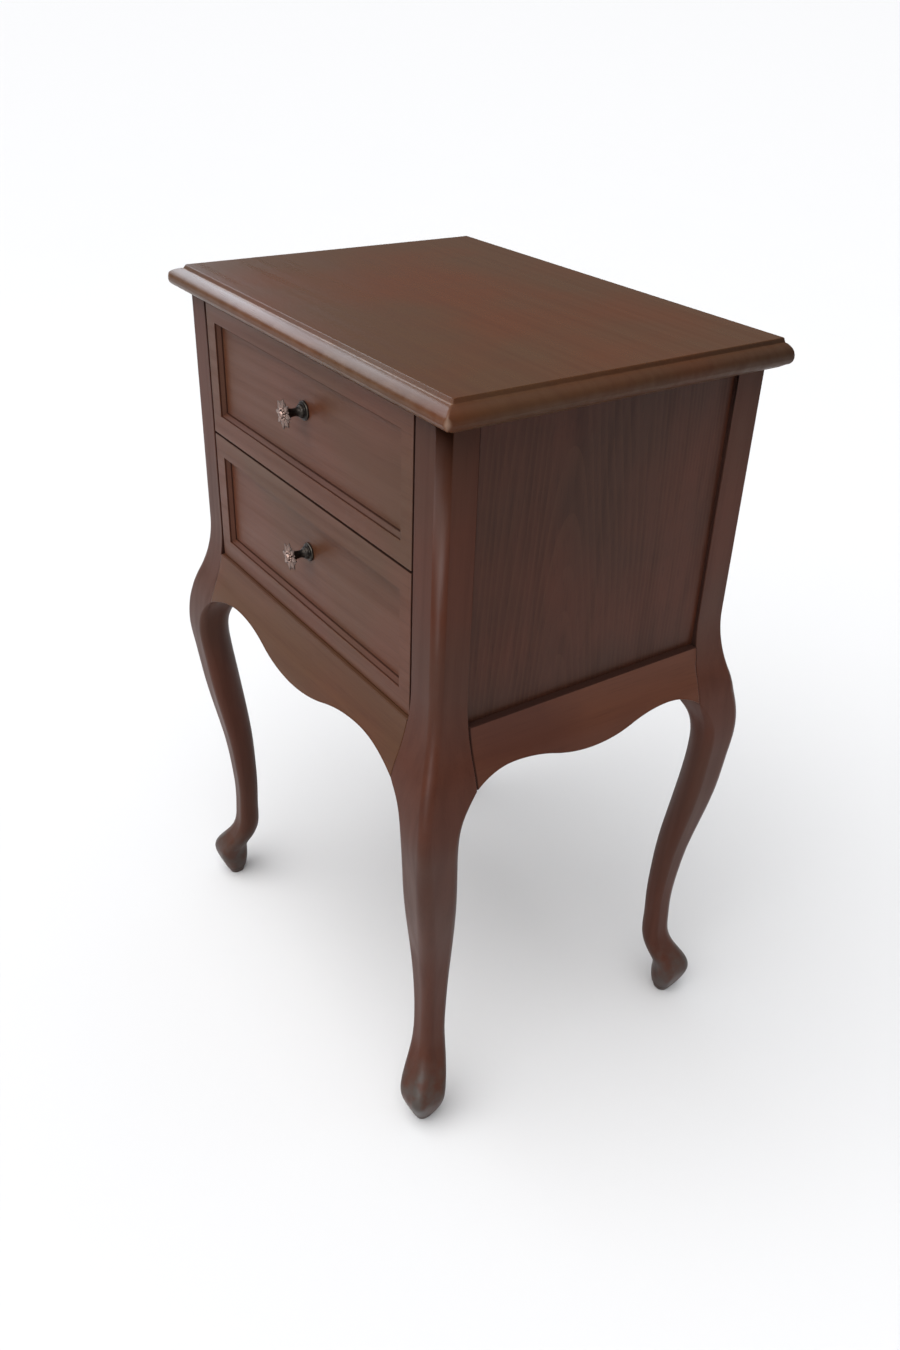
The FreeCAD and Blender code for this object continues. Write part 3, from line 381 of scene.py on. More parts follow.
def wood(name, light, dark, cloud, rubbed, grain, heart, pooled=None, line=None, ring_mm=9.0, tilt=(0.0, 0.0),
         roughness=0.36, figure=0.1, streaks=0.18, pores=0.3, lean=0.03):
    """Sawn hardwood: growth rings are cylinders round a heart line, waved by noise, so a board cut beside
    the heart shows stripes and one cut across their side shows arches. Stain settles in the pores and is
    rubbed thin where the shell's wear says so. Where its pooled says so, shade is painted
    in the given colour, which also stands for stain gathered there."""
    material, tree, shader = new_material(name)
    place = add_node(tree, "TexCoord", output="Object")
    turned = add_node(tree, "Mapping", {"Vector": place, "Rotation": UPRIGHT[grain]}, vector_type="TEXTURE")
    board = add_node(tree, "Mapping", {"Vector": turned, "Location": heart, "Rotation": (*tilt, 0)})
    squeezed = add_node(tree, "Mapping", {"Vector": board, "Scale": ALONG_DRIFT})
    drawn_out = add_node(tree, "Mapping", {"Vector": board, "Scale": ALONG_FIBRES})
    drift, fibre, band, clouds, patches = (
        add_node(tree, "TexNoise", {"Vector": over, "Scale": scale, "Detail": detail, "Roughness": rough},
                 output)
        for over, scale, detail, rough, output in (
            (squeezed, DRIFT, 1.0, 0.5, "Color"), (drawn_out, FIBRES, 4.0, 0.6, "Fac"),
            (drawn_out, STREAKS, 4.0, 0.5, "Fac"), (board, CLOUDS, 2.0, 0.5, "Fac"),
            (board, PATCHES, 2.0, 0.5, "Fac")))
    pushed = add_node(tree, "VectorMath", {0: drift, 1: (0.5, 0.5, 0.5)}, operation="SUBTRACT")
    pushed = add_node(tree, "VectorMath", {0: pushed, "Scale": lean}, operation="SCALE")
    bent = add_node(tree, "VectorMath", {0: board, 1: pushed}, operation="ADD")
    # at a scale of one the wave's rings lie a tenth of pi apart
    rings = add_node(tree, "TexWave", {"Vector": bent, "Scale": math.pi / (10 * ring_mm * MM),
                                       "Distortion": 0.0, "Detail": 0.0},
                     "Fac", wave_type="RINGS", rings_direction="Z", wave_profile="SAW")
    edge, stain_and_shade_mask = (add_node(tree, "Attribute", output="Fac", attribute_name=label)
                  for label in ("wear", "pooled"))

    # how each pattern's values spread into its share of the colour, and into the gloss
    ring_share, uneven, band_share, pore_share, cloud_share, patchy, satin = (
        add_node(tree, "MapRange", {"Value": pattern, "From Min": low, "From Max": high, "To Min": least,
                                    "To Max": most}, interpolation_type=course)
        for pattern, low, high, least, most, course in (
            (rings, 0.35, 1.0, 0.0, figure, "SMOOTHSTEP"), (band, 0.35, 0.6, 0.1, 1.0, "LINEAR"),
            (band, 0.42, 0.68, 0.0, streaks, "LINEAR"), (fibre, 0.52, 0.70, 0.0, pores, "LINEAR"),
            (clouds, 0.42, 0.66, 0.0, 1.0, "LINEAR"), (patches, 0.35, 0.65, 0.15, 0.75, "LINEAR"),
            (band, 0.3, 0.7, roughness - 0.05, roughness + 0.08, "LINEAR")))
    ring_share = add_node(tree, "Math", {0: ring_share, 1: uneven}, operation="MULTIPLY")
    worn = add_node(tree, "Math", {0: edge, 1: patchy}, operation="MULTIPLY")
    tone = light
    # the last mix paints shade where the shell asks for it, in the colour of gathered stain
    for share, over in ((cloud_share, cloud), (ring_share, line or dark), (band_share, dark),
                        (pore_share, dark), (worn, rubbed), (stain_and_shade_mask, pooled or dark)):
        tone = add_node(tree, "Mix", {0: share, 6: tone, 7: over}, 2, data_type="RGBA")
    # where shade is painted, taken also for stain gathered with dirt in it, the gloss is taken off too
    satin = add_node(tree, "Math", {0: stain_and_shade_mask, 1: 0.9, 2: satin}, operation="MULTIPLY_ADD", use_clamp=True)
    sunk = add_node(tree, "Math", {0: pore_share, 1: -1.0}, operation="MULTIPLY")
    bump = add_node(tree, "Bump", {"Height": sunk, "Strength": 0.35, "Distance": 0.1 * MM})
    for socket, value in (("Base Color", tone), ("Roughness", satin), ("Normal", bump)):
        tree.links.new(value, shader[socket])
    shader["IOR"].default_value = 1.5
    # wax and lacquer with fine scratches shine less than clear varnish
    shader["Specular IOR Level"].default_value = 0.15
    return material


def metal(name, high, hollow, roughness, metallic, speck_mm):
    """Cast or turned metal with tarnish in patches: noise chooses between the bright and the dull finish,
    and roughens the dull one."""
    material, tree, shader = new_material(name)
    place = add_node(tree, "TexCoord", output="Object")
    patch = add_node(tree, "TexNoise", {"Vector": place, "Scale": 1 / (speck_mm * MM), "Detail": 4.0,
                                        "Roughness": 0.6}, "Fac")
    edge = add_node(tree, "Attribute", output="Fac", attribute_name="wear")
    share = add_node(tree, "MapRange", {"Value": patch, "From Min": 0.4, "From Max": 0.62, "To Min": 0.0,
                                        "To Max": 0.45})
    share = add_node(tree, "Math", {0: share, 1: edge}, operation="MAXIMUM")
    tone = add_node(tree, "Mix", {0: share, 6: hollow, 7: high}, 2, data_type="RGBA")
    rough = add_node(tree, "MapRange", {"Value": share, "To Min": roughness + 0.2, "To Max": roughness})
    bump = add_node(tree, "Bump", {"Height": patch, "Strength": 0.25, "Distance": 0.1 * MM})
    for socket, value in (("Base Color", tone), ("Roughness", rough), ("Normal", bump)):
        tree.links.new(value, shader[socket])
    shader["Metallic"].default_value = metallic
    return material


def flare_reach(size, drop):
    """How far the flared face stands out at a drop below the straight post: a hollow arc that leaves the
    post upright, then an equal round one that comes upright again at the knee's fullest point."""
    fall = size.knee_rise + size.knee_drop
    radius = (fall ** 2 + size.knee_reach ** 2) / (4 * size.knee_reach)
    hollow = radius - half_chord(radius, drop)
    full = size.knee_reach - radius + half_chord(radius, fall - drop)
    return np.where(drop <= fall / 2, hollow, full)


def leg_rows(size, end):
    """The leg's sections from the top down to the floor, as columns: height, reach, two widths, and the
    outer, side and inner rounds. The post is even, the knee follows the flare, and the shank is a spline
    through its shares."""
    depth, post_round = ((size.front_post_depth, size.front_post_round) if end < 0
                         else (size.rear_post_depth, size.rear_post_round))
    splay = 0 if end < 0 else size.rear_splay
    knee_top = size.leg_height + size.knee_rise
    z = np.concatenate([[size.height - size.top_thickness, knee_top + 0.5 * MM],
                        np.linspace(knee_top, size.leg_height, 26)])
    drop = np.maximum(knee_top - z, 0)
    reach = flare_reach(size, drop)
    plain = np.full(len(z), size.arris)
    outer = post_round + (size.knee_round - post_round) * (drop / size.knee_rise) ** 3
    upper = np.stack([z, reach, size.post_width + reach, depth + reach, outer, plain, plain], 1)
    table = np.array(LEG_SECTION_SHARES)
    width = size.knee_width * table[:, 3]
    shank = np.stack([size.leg_height * table[:, 0], size.knee_reach * table[:, 1] + splay * table[:, 2],
                      width, width, width * table[:, 4], width * table[:, 5], width * table[:, 6]], 1)
    shank = np.concatenate([upper[-1:], shank])[::-1]
    # half of the rows lie in the foot, the lowest 16% of the leg
    at = np.concatenate([np.linspace(0, 0.16, 90)[:-1], np.linspace(0.16, 1, 90)]) * size.leg_height
    leg = smooth_spline(shank[:, 0], shank[:, 1:], at)
    leg = np.concatenate([at[:, None], leg], 1)[::-1]
    # the sole is cut back under the pad, which leaves a fine ledge round the foot
    cut = np.clip((size.sole_height - leg[:, 0]) / (0.8 * MM) + 0.5, 0, 1)
    leg[:, 1] -= 0.3 * MM * cut
    leg[:, 2:4] -= 0.7 * MM * cut[:, None]
    rows = np.concatenate([upper, leg[1:]])
    # two rows 0.1 mm apart, between which the back board's rebate ends
    lap = size.leg_height + size.apron_height - size.back_lap
    level = np.searchsorted(-rows[:, 0], -lap)
    share = (rows[level - 1, 0] - lap) / (rows[level - 1, 0] - rows[level, 0])
    cut_row = rows[level - 1] * (1 - share) + rows[level] * share
    above, below = cut_row.copy(), cut_row.copy()
    above[0] += 0.05 * MM
    below[0] -= 0.05 * MM
    return np.insert(rows, level, [above, below], 0)


def leg_grid(size, side, end, round_steps=14):
    """A rounded rectangle at every height, each corner a quarter circle: the outer corner stands past the
    case's corner by the reach, and the rear legs carry the back board's rebate in their inner corner."""
    rows = leg_rows(size, end)
    height, reach, wide, deep, outer, beside, inner = rows.T
    low_x, low_y = reach - wide, reach - deep
    turn = np.linspace(0, math.pi / 2, round_steps)[None, :]
    # where the front apron meets the leg, the two are planed flush and hide their seam
    flush = (height > size.leg_height) & (height < size.leg_height + size.apron_height) & (end < 0)
    meeting = np.where(flush, 0.1 * MM, beside)
    # each corner's place, round, first angle, way inwards and wear, of which the outer arris has most
    corners = ((low_x, low_y, inner, math.pi, 1, 1, 0.1), (reach, low_y, beside, -math.pi / 2, -1, 1, 0.1),
               (reach, reach, outer, 0, -1, -1, 0.22), (low_x, reach, meeting, math.pi / 2, 1, -1, 0.1))
    xs, ys, rubs = [], [], []
    for x, y, radius, first, inwards_x, inwards_y, worn in corners:
        xs.append((x + inwards_x * radius)[:, None] + radius[:, None] * np.cos(first + turn))
        ys.append((y + inwards_y * radius)[:, None] + radius[:, None] * np.sin(first + turn))
        # a round broader than 5 mm is rubbed less
        bend = np.clip(5 * MM / np.maximum(radius, MM), 0, 1)[:, None] * worn
        rubs.append(bend * np.sin(2 * turn) ** 2)
    if end > 0:
        # the back board's rebate: a square notch in the inner corner of the rear face
        notched = height > size.leg_height + size.apron_height - size.back_lap
        way = np.linspace(0, 2, round_steps)[None, :]
        notch_x = low_x[:, None] + size.back_rebate * np.clip(2 - way, 0, 1)
        notch_y = reach[:, None] - (size.back_inset + size.back_thickness) * np.clip(way, 0, 1)
        xs[3] = np.where(notched[:, None], notch_x, xs[3])
        ys[3] = np.where(notched[:, None], notch_y, ys[3])
    x, y, rub = (np.concatenate(part, 1) for part in (xs, ys, rubs))
    # painted shade on the post's inner faces above the aprons, and a little on the shank's inner faces
    share = np.linspace(0, 1, round_steps)
    inner_face_shade = np.concatenate([share * 0 + 1, 1 - share, share * 0, share])[None, :]
    below = np.clip((size.leg_height - height) / (30 * MM), 0, 1)[:, None]
    dark = inner_face_shade * (0.1 * below + 0.75 * (height > size.leg_height + size.apron_height)[:, None])
    # painted shade in the ledge round the foot
    ledge = np.exp(-((height - size.sole_height - 0.5 * MM) / (0.8 * MM)) ** 2)[:, None]
    dark = np.maximum(dark, 0.75 * ledge)
    # the feet are scuffed up to 72 mm and drawn greyer there: partly real scuffs, partly a painted sheen,
    # with a painted highlight over the toe's outer facet
    scuff_and_sheen = np.clip((72 * MM - height) / (30 * MM), 0, 1)[:, None]
    toe_highlight = np.concatenate([share * 0, share * 0, np.sin(math.pi * share ** 1.8), share * 0])
    rub = np.maximum(rub, scuff_and_sheen * (1.1 + toe_highlight[None, :]))
    corner_x, corner_y = size.case_width / 2, size.case_depth / 2
    z = np.broadcast_to(height[:, None], x.shape)
    return np.stack([(corner_x + x) * side, (corner_y + y) * end, z], -1), rub, dark


class NIGHTSTAND_OT_legs(bpy.types.Operator):
    """Shapes the four posts with their knees, shanks and pad feet"""
    bl_idname = "nightstand.legs"
    bl_label = "Cabriole legs"

    def execute(self, context):
        size, finish = context.scene.nightstand_sizes, context.scene.nightstand_finish
        names = {(-1, -1): "front_left", (1, -1): "front_right", (-1, 1): "rear_left", (1, 1): "rear_right"}
        for (side, end), name in names.items():
            # Stained hardwood, sawn, carved and lacquered: upright grain, the heart well outside the blank
            heart = (-side * 0.12 - side * 0.2, -end * 0.15 + 0.05 * side, 0)
            material = wood("stained_hardwood_leg_" + name, finish.leg_stain, finish.stain_dark,
                            finish.leg_cloud, finish.scuffed, "z", heart, pooled=finish.pooled, ring_mm=11,
                            tilt=(0.03, -0.02), streaks=0.32)
            shell = Shell()
            shell.add(*leg_grid(size, side, end))
            shell.finish("cabriole_leg_" + name, "carcass", "stained_wood", material, "leg_" + name)
        return {"FINISHED"}


class NIGHTSTAND_OT_top_board(bpy.types.Operator):
    """Shapes the top board with its moulded edge on the front and both sides"""
    bl_idname = "nightstand.top_board"
    bl_label = "Top board"

    def execute(self, context):
        size, finish = context.scene.nightstand_sizes, context.scene.nightstand_finish
        profile = arc_run(MOULDING_SHARES, size.moulding_width, size.top_thickness, size.moulding_width)
        inward, down = profile[:, 0][:, None], profile[:, 1][:, None]
        half = size.top_width / 2
        front = -size.case_depth / 2 - size.front_overhang
        rear = size.case_depth / 2 + size.rear_overhang
        # the corner's round shrinks inwards until only a rubbed mitre is left
        radius = np.maximum(size.corner_round - 2.4 * inward, 2 * size.arris)
        steps = 9
        turn = np.linspace(0, math.pi / 2, steps)[None, :]
        near = np.minimum(down, size.top_thickness - down)
        back_in = size.arris - half_chord(size.arris, np.maximum(size.arris - near, 0))
        left_x = -half + inward + radius * (1 - np.cos(turn))
        left_y = front + inward + radius * (1 - np.sin(turn))
        rear_y = rear - back_in
        xs = np.concatenate([-half + inward, left_x, -left_x[:, ::-1], half - inward], 1)
        ys = np.concatenate([rear_y, left_y, left_y[:, ::-1], rear_y], 1)
        grid = np.stack([xs, ys, np.broadcast_to(size.height - down, xs.shape)], -1)
        # the moulding is rubbed where its profile turns, in a paler, greyer tone that is partly wear and
        # partly a painted highlight on its arrises. From half-way round the front right corner on, it is
        # hardly rubbed and is painted darker: painted shade on the side turned from the light
        steep = np.gradient(np.unwrap(np.arctan2(*np.gradient(profile, axis=0).T)))
        shaded_side_share = np.zeros(xs.shape[1])
        shaded_side_share[-6:] = (0.3, 0.45, 0.6, 0.75, 0.88, 0.88)
        wear = np.clip(np.abs(steep), 0, 0.45)[:, None] * (1 - shaded_side_share)
        # painted shade on the right side's moulding rows
        deeper = 0.3 * shaded_side_share * (down > 0)
        # the front corners' mitres have been knocked, most of all on the round part of the edge
        knocked = np.exp(-((down / size.top_thickness - 0.5) / 0.2) ** 2) * np.sin(2 * turn) ** 2
        for first, share in ((1, 1.0), (1 + steps, 0.9)):
            corner = slice(first, first + steps)
            wear[:, corner] = np.maximum(wear[:, corner], share * knocked)
        material = wood("stained_hardwood_top", finish.top_stain, finish.stain_dark, finish.top_cloud,
                        finish.chipped, "x", (0.05, 0.35, -0.12), pooled=finish.pooled, ring_mm=14,
                        tilt=(0.02, 0.03), roughness=0.3, figure=0.04, streaks=0.16, pores=0.2)
        shell = Shell()
        shell.add(grid, wear, deeper)
        shell.finish("moulded_top_board", "carcass", "stained_wood", material, "top_panel")
        return {"FINISHED"}


# The last columns of an apron's section: the two on the back's upper edge and the six of the face's easing
TOP_COLUMNS = 8


def apron_grid(size, level, outer, inner, span, scallop, seam, columns=241):
    """An apron along its length: its face follows the flare, and its lower edge is two humps and a broad
    pendant, each a run of circular arcs. The scallop gives the humps' place as a share of half the length,
    their rise above the foot and the pendant's drop below it. The section goes down the face, round the
    rubbed lower edge, up the back and over the top. Returns length, outwards and height for each point."""
    top, foot = level
    hump_share, rise, drop = scallop
    edge = 0.9 * MM
    face_rows, ease_rows = 24, 6
    middle, half = (span[0] + span[1]) / 2, (span[1] - span[0]) / 2
    along = np.linspace(-1, 1, columns) * half
    away = np.abs(along)
    hump, swing = half * hump_share, rise + drop
    tight = (hump ** 2 + swing ** 2) / (4 * swing)
    run = half - hump
    wide = (run ** 2 + rise ** 2) / (2 * rise)
    pendant = -drop + tight - half_chord(tight, away)
    shoulder = rise - tight + half_chord(tight, hump - away)
    outside = rise - wide + half_chord(wide, away - hump)
    low = foot + np.where(away < hump / 2, pendant, np.where(away < hump, shoulder, outside))
    knee_top = size.leg_height + size.knee_rise
    t = np.linspace(0, 1, face_rows)[None, :]
    ease = np.linspace(0, math.pi / 2, ease_rows)[None, :]
    fading, growing = edge * (1 - np.sin(ease)), edge * (1 - np.cos(ease))
    foot_z = low[:, None]
    face_z = (top - edge) + (foot_z + edge - (top - edge)) * t
    face_out = outer + flare_reach(size, knee_top - face_z)
    tip_out = outer + flare_reach(size, knee_top - low)[:, None]
    zeros = foot_z * 0
    pieces = ((face_out, face_z), (tip_out - growing, foot_z + fading), (inner + fading, foot_z + growing),
              (inner + zeros, top + zeros - edge), (inner + zeros + edge, top + zeros),
              (face_out[:, :1] - fading, top - growing + zeros))
    out, up = (np.concatenate([np.broadcast_to(piece[part], (columns, piece[1].shape[1]))
                               for piece in pieces], 1) for part in (0, 1))
    wear = np.zeros(out.shape)
    wear[:, face_rows:face_rows + ease_rows] = 0.2 * np.sin(2 * ease)
    dark = np.zeros(out.shape)
    # painted shade on the apron's top, which shows in the gap under the drawer
    dark[:, -TOP_COLUMNS:] = 0.2
    # both ends are eased by the seam, which draws a fine line against the posts
    near = np.clip((half - away) / seam, 0, 1)
    shrink = (seam * 0.6 * (1 - half_chord(1, 1 - near)))[:, None]
    centre_out, centre_up = out.mean(1, keepdims=True), up.mean(1, keepdims=True)
    out, up = out - np.sign(out - centre_out) * shrink, up - np.sign(up - centre_up) * shrink
    return np.broadcast_to((middle + along)[:, None], out.shape), out, up, wear, dark


class NIGHTSTAND_OT_aprons(bpy.types.Operator):
    """Shapes the front and side aprons, which follow the knees and are scalloped below"""
    bl_idname = "nightstand.aprons"
    bl_label = "Aprons"

    def execute(self, context):
        size, finish = context.scene.nightstand_sizes, context.scene.nightstand_finish
        half_case, rear = size.case_width / 2, size.case_depth / 2
        post_inner = half_case - size.post_width
        apron_top = size.leg_height + size.apron_height
        along, out, up, wear, dark = apron_grid(size, (apron_top, size.leg_height), rear,
                                                rear - size.apron_thickness, (-post_inner, post_inner),
                                                (0.657, 14.5 * MM, 2.5 * MM), 0.12 * MM)
        shell = Shell()
        shell.add(np.stack([along, -out, up], -1), wear, dark)
        material = wood("stained_hardwood_front_apron", finish.stain, finish.stain_dark, finish.stain_olive,
                        finish.rubbed, "x", (0.1, 0.2, -0.3), pooled=finish.pooled, ring_mm=10,
                        tilt=(0.02, 0.02))
        shell.finish("shaped_apron_front", "carcass", "stained_wood", material, "front_apron")
        inner = half_case - size.panel_recess - size.panel_thickness
        span = (-rear + size.front_post_depth, rear - size.rear_post_depth)
        for side, name in ((-1, "left"), (1, "right")):
            along, out, up, wear, dark = apron_grid(size, (apron_top + MM, size.leg_height), half_case, inner,
                                                    span, (0.686, 12 * MM, 0.3 * MM), 1.3 * MM)
            # painted shade on the ledge above and in the seam with the front post
            dark[along < span[0] + 1.4 * MM] = 0.9
            dark[:, -TOP_COLUMNS:] = 0.9
            shell = Shell()
            shell.add(np.stack([out * side, along, up], -1), wear, dark)
            material = wood("stained_hardwood_side_apron_" + name, finish.stain, finish.stain_dark,
                            finish.leg_stain, finish.rubbed, "y", (0.1 * side, -0.2, -0.1),
                            pooled=finish.pooled, ring_mm=10, tilt=(0.02, 0.02))
            shell.finish("shaped_apron_" + name, "carcass", "stained_wood", material, "side_apron_" + name)
        return {"FINISHED"}


# Points on each eased corner of a drawer front's section
EASE_ROWS = 7


def drawer_front_grid(size, low, high, border_top):
    """Nested rectangles from the back of the board over its rubbed edges, across the flat border, and down
    the recess: a short step, a slope and a shorter step to the field. Each rectangle's corners are eased."""
    half = size.case_width / 2 - size.post_width - size.drawer_side_gap
    face = -size.case_depth / 2 + size.drawer_setback
    field = face + size.field_depth
    step = 1.2 * MM
    # each corner's share of the border, its distance in from the border's edge and its place in depth
    corners = [(0, 0, face + size.front_thickness), (0, 0, face), (1, 0, face), (1, 0, face + step),
               (1, 0.6 * MM, face + step + 0.7 * MM), (1, 2.7 * MM, field - 1.2 * MM),
               (1, 3 * MM, field - 0.9 * MM), (1, 3 * MM, field), (1, 4.2 * MM, field)]
    cuts = (0, size.arris, 0.5 * MM, 0.3 * MM, 0.1 * MM, 0.1 * MM, 0.2 * MM, 0.25 * MM, 0)
    rows, into = rubbed_path(corners, cuts, EASE_ROWS)
    inset_of, inset, depth = rows.T
    spans = []
    for outer, inner in (((-half, half), (-half + size.border_side, half - size.border_side)),
                         ((low, high), (low + size.border_bottom, high - border_top))):
        start = outer[0] + (inner[0] - outer[0]) * inset_of + inset
        end = outer[1] + (inner[1] - outer[1]) * inset_of - inset
        spans.append((start, end))
    (x0, x1), (z0, z1) = spans
    ease = 0.45 * MM
    t = np.linspace(0, 1, 5)[None, :]
    rings = []
    for (x, along_x), (z, along_z), upright_first in (((x0, 1), (z0, 1), True), ((x1, -1), (z0, 1), False),
                                                      ((x1, -1), (z1, -1), True), ((x0, 1), (z1, -1), False)):
        from_z, from_x = (1 - t) ** 2 * ease, t ** 2 * ease
        if not upright_first:
            from_z, from_x = from_x, from_z
        rings.append(np.stack([x[:, None] + along_x * from_x, z[:, None] + along_z * from_z], -1))
    ring = np.concatenate(rings, 1)
    grid = np.stack([ring[..., 0], np.broadcast_to(depth[:, None], ring.shape[:2]), ring[..., 1]], -1)
    # the outer arris and the border's inner one are rubbed. Shade is painted, as gathered stain, on the
    # board's sides that show in the gaps, at the foot of the step, on the slope and round the field
    wear = into * np.repeat((0, 0.7, 0.55, 0, 0, 0, 0, 0, 0), EASE_ROWS)
    recess_and_gap_shade = np.repeat((0.9, 0, 0, 0.8, 0.2, 0.2, 0.6, 0.9, 0), EASE_ROWS)
    recess_and_gap_shade[EASE_ROWS:2 * EASE_ROWS] = np.linspace(0.9, 0, EASE_ROWS)
    return grid, wear[:, None], recess_and_gap_shade[:, None]


class NIGHTSTAND_OT_drawer_fronts(bpy.types.Operator):
    """Shapes the two drawer fronts with their recessed fields"""
    bl_idname = "nightstand.drawer_fronts"
    bl_label = "Drawer fronts"

    def execute(self, context):
        size, finish = context.scene.nightstand_sizes, context.scene.nightstand_finish
        # the upper front reaches closer to the top board than the solid does, by its raise, and the lower one
        # hangs a little low, by its raise and its sag, nearer the apron than the upper front
        for name, raised, sag, border_top, heart in (
                ("upper", 1.5 * MM, 0, size.upper_border_top + 1.5 * MM, (0.02, 0.16, -0.03)),
                ("lower", -0.5 * MM, 0.7 * MM, size.border_top, (-0.3, 0.19, 0.02))):
            low, high = (corner.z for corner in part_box(name + "_drawer_front"))
            shell = Shell()
            shell.add(*drawer_front_grid(size, low - sag, high + raised, border_top))
            # Stained and satin-lacquered hardwood: a brown stain darkest in the grain, thin on the edges
            material = wood("stained_hardwood_%s_drawer" % name, finish.stain, finish.stain_dark,
                            finish.stain_olive, finish.rubbed, "x", heart, pooled=finish.pooled, ring_mm=12,
                            tilt=(0.02, 0.03))
            shell.finish("panelled_front_" + name, name + "_drawer", "stained_wood", material,
                         name + "_drawer_front")
        return {"FINISHED"}


def turned_grid(profile, centre, columns=56):
    """A profile of distance out from the drawer and radius, turned round the knob's axis."""
    angle = np.linspace(0, 2 * math.pi, columns, endpoint=False)[None, :]
    out, radius = profile[:, 0][:, None], profile[:, 1][:, None]
    return np.stack([centre[0] + radius * np.cos(angle), centre[1] - out + angle * 0,
                     centre[2] + radius * np.sin(angle)], -1)


def petal_grid(start, end, half_width, height, vein, rows=18, columns=20):
    """One petal lying on the plate: as it goes out its half width is a leaf's sine, its height a low dome,
    and a vein is pressed along its middle. The section is a flattened ring round the petal."""
    out = np.linspace(0, 1, rows)[:, None]
    angle = np.linspace(0, 2 * math.pi, columns, endpoint=False)[None, :]
    leaf = np.sin(math.pi * out ** 0.8) ** 0.65
    across = np.cos(angle)
    dome = np.sin(angle)
    lift = np.where(dome > 0, dome * height * (0.35 + 0.65 * leaf), dome * 0.25 * height)
    lift = lift - np.where(dome > 0, vein * np.exp(-(across / 0.22) ** 2) * leaf, 0)
    radius = start + (end - start) * out + 0 * angle
    return radius, half_width * leaf * across, lift


class NIGHTSTAND_OT_knobs(bpy.types.Operator):
    """Turns the knobs' bases and casts their pierced rosettes"""
    bl_idname = "nightstand.knobs"
    bl_label = "Knobs"

    def execute(self, context):
        size, finish = context.scene.nightstand_sizes, context.scene.nightstand_finish
        bronze = metal("aged_bronze_turned", finish.bronze, finish.bronze_dull, 0.28, 0.9, 2.5)
        copper = metal("antique_copper_cast", finish.copper, finish.tarnish, 0.3, 0.85, 1.2)
        plate, base = size.knob_base_length, size.knob_base_radius
        profile = arc_run(KNOB_BASE_SHARES, plate, base, base)
        # both ends run in to 0.2 mm, where the shell's end faces close them
        profile = np.concatenate([[[0, 0.2 * MM]], profile, [[plate, 0.2 * MM]]])
        field = -size.case_depth / 2 + size.drawer_setback + size.field_depth
        radius, thick = size.rosette_radius, size.rosette_thickness
        for name in ("upper", "lower"):
            low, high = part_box(name + "_knob_base")
            centre = (0, field, (low.z + high.z) / 2)
            shell = Shell()
            # the foot's rim, 1.2 mm out from the drawer, is rubbed bright and carries a painted highlight
            shell.add(turned_grid(profile, centre), np.exp(-((profile[:, :1] / MM - 1.2) / 0.5) ** 2))
            shell.finish("turned_knob_" + name, name + "_drawer", "dark_bronze", bronze, name + "_knob_base")
            shell = Shell()
            # eight petals, and eight smaller ones between them: the first one's turn, then as shares where
            # they start and end, how wide and high they are, and how far they stand out
            for first, start, end, wide, lift, rise in ((0, 0.22, 0.99, 0.2, 0.9, 1.0),
                                                        (0.5, 0.46, 0.86, 0.12, 0.7, 0.7)):
                for number in range(8):
                    turn = (number + first) * 2 * math.pi / 8
                    out, across, up = petal_grid(radius * start, radius * end, radius * wide,
                                                 thick * lift * 0.75, thick * 0.22)
                    x = out * math.cos(turn) - across * math.sin(turn)
                    z = out * math.sin(turn) + across * math.cos(turn)
                    y = centre[1] - plate - thick * 0.35 - up * rise
                    shell.add(np.stack([x, y, centre[2] + z], -1), np.clip(2.4 * up / thick - 0.5, 0, 0.95))
            # two rings of wire tie the petals together
            turn = np.linspace(0, 2 * math.pi, 48)[:, None]
            around = np.linspace(0, 2 * math.pi, 12, endpoint=False)[None, :]
            for ring_radius, wire in ((0.62 * radius, 0.07 * radius), (0.3 * radius, 0.09 * radius)):
                reach = ring_radius + wire * np.cos(around)
                y = centre[1] - plate - thick * 0.4 - wire * np.sin(around) + turn * 0
                shell.add(np.stack([reach * np.cos(turn), y, centre[2] + reach * np.sin(turn)], -1), 0.1,
                          caps=False)
            # a bead in the middle and twelve small ones round it
            bead = np.linspace(0, math.pi, 9)
            beads = [(0, 0, 0.24)] + [(0.36 * math.cos(t), 0.36 * math.sin(t), 0.08)
                                      for t in np.linspace(0, 2 * math.pi, 12, endpoint=False)]
            for across, up, wide in beads:
                # its poles are left a hair wide, so that the end faces have an area
                ball = np.stack([-np.cos(bead) * wide * radius * 0.9, np.sin(bead) * wide * radius + 1e-6], 1)
                shell.add(turned_grid(ball, (across * radius, centre[1] - plate - thick * 0.95,
                                             centre[2] + up * radius), 14), 0.8)
            # the hub that holds the petals
            hub = np.array([(0.02, 0.001), (0.02, 0.30), (0.5, 0.36), (0.6, 0.001)])
            shell.add(turned_grid(hub * (thick, radius), (0, centre[1] - plate, centre[2]), 32))
            shell.finish("cast_rosette_" + name, name + "_drawer", "aged_copper", copper,
                         name + "_knob_rosette")
        return {"FINISHED"}


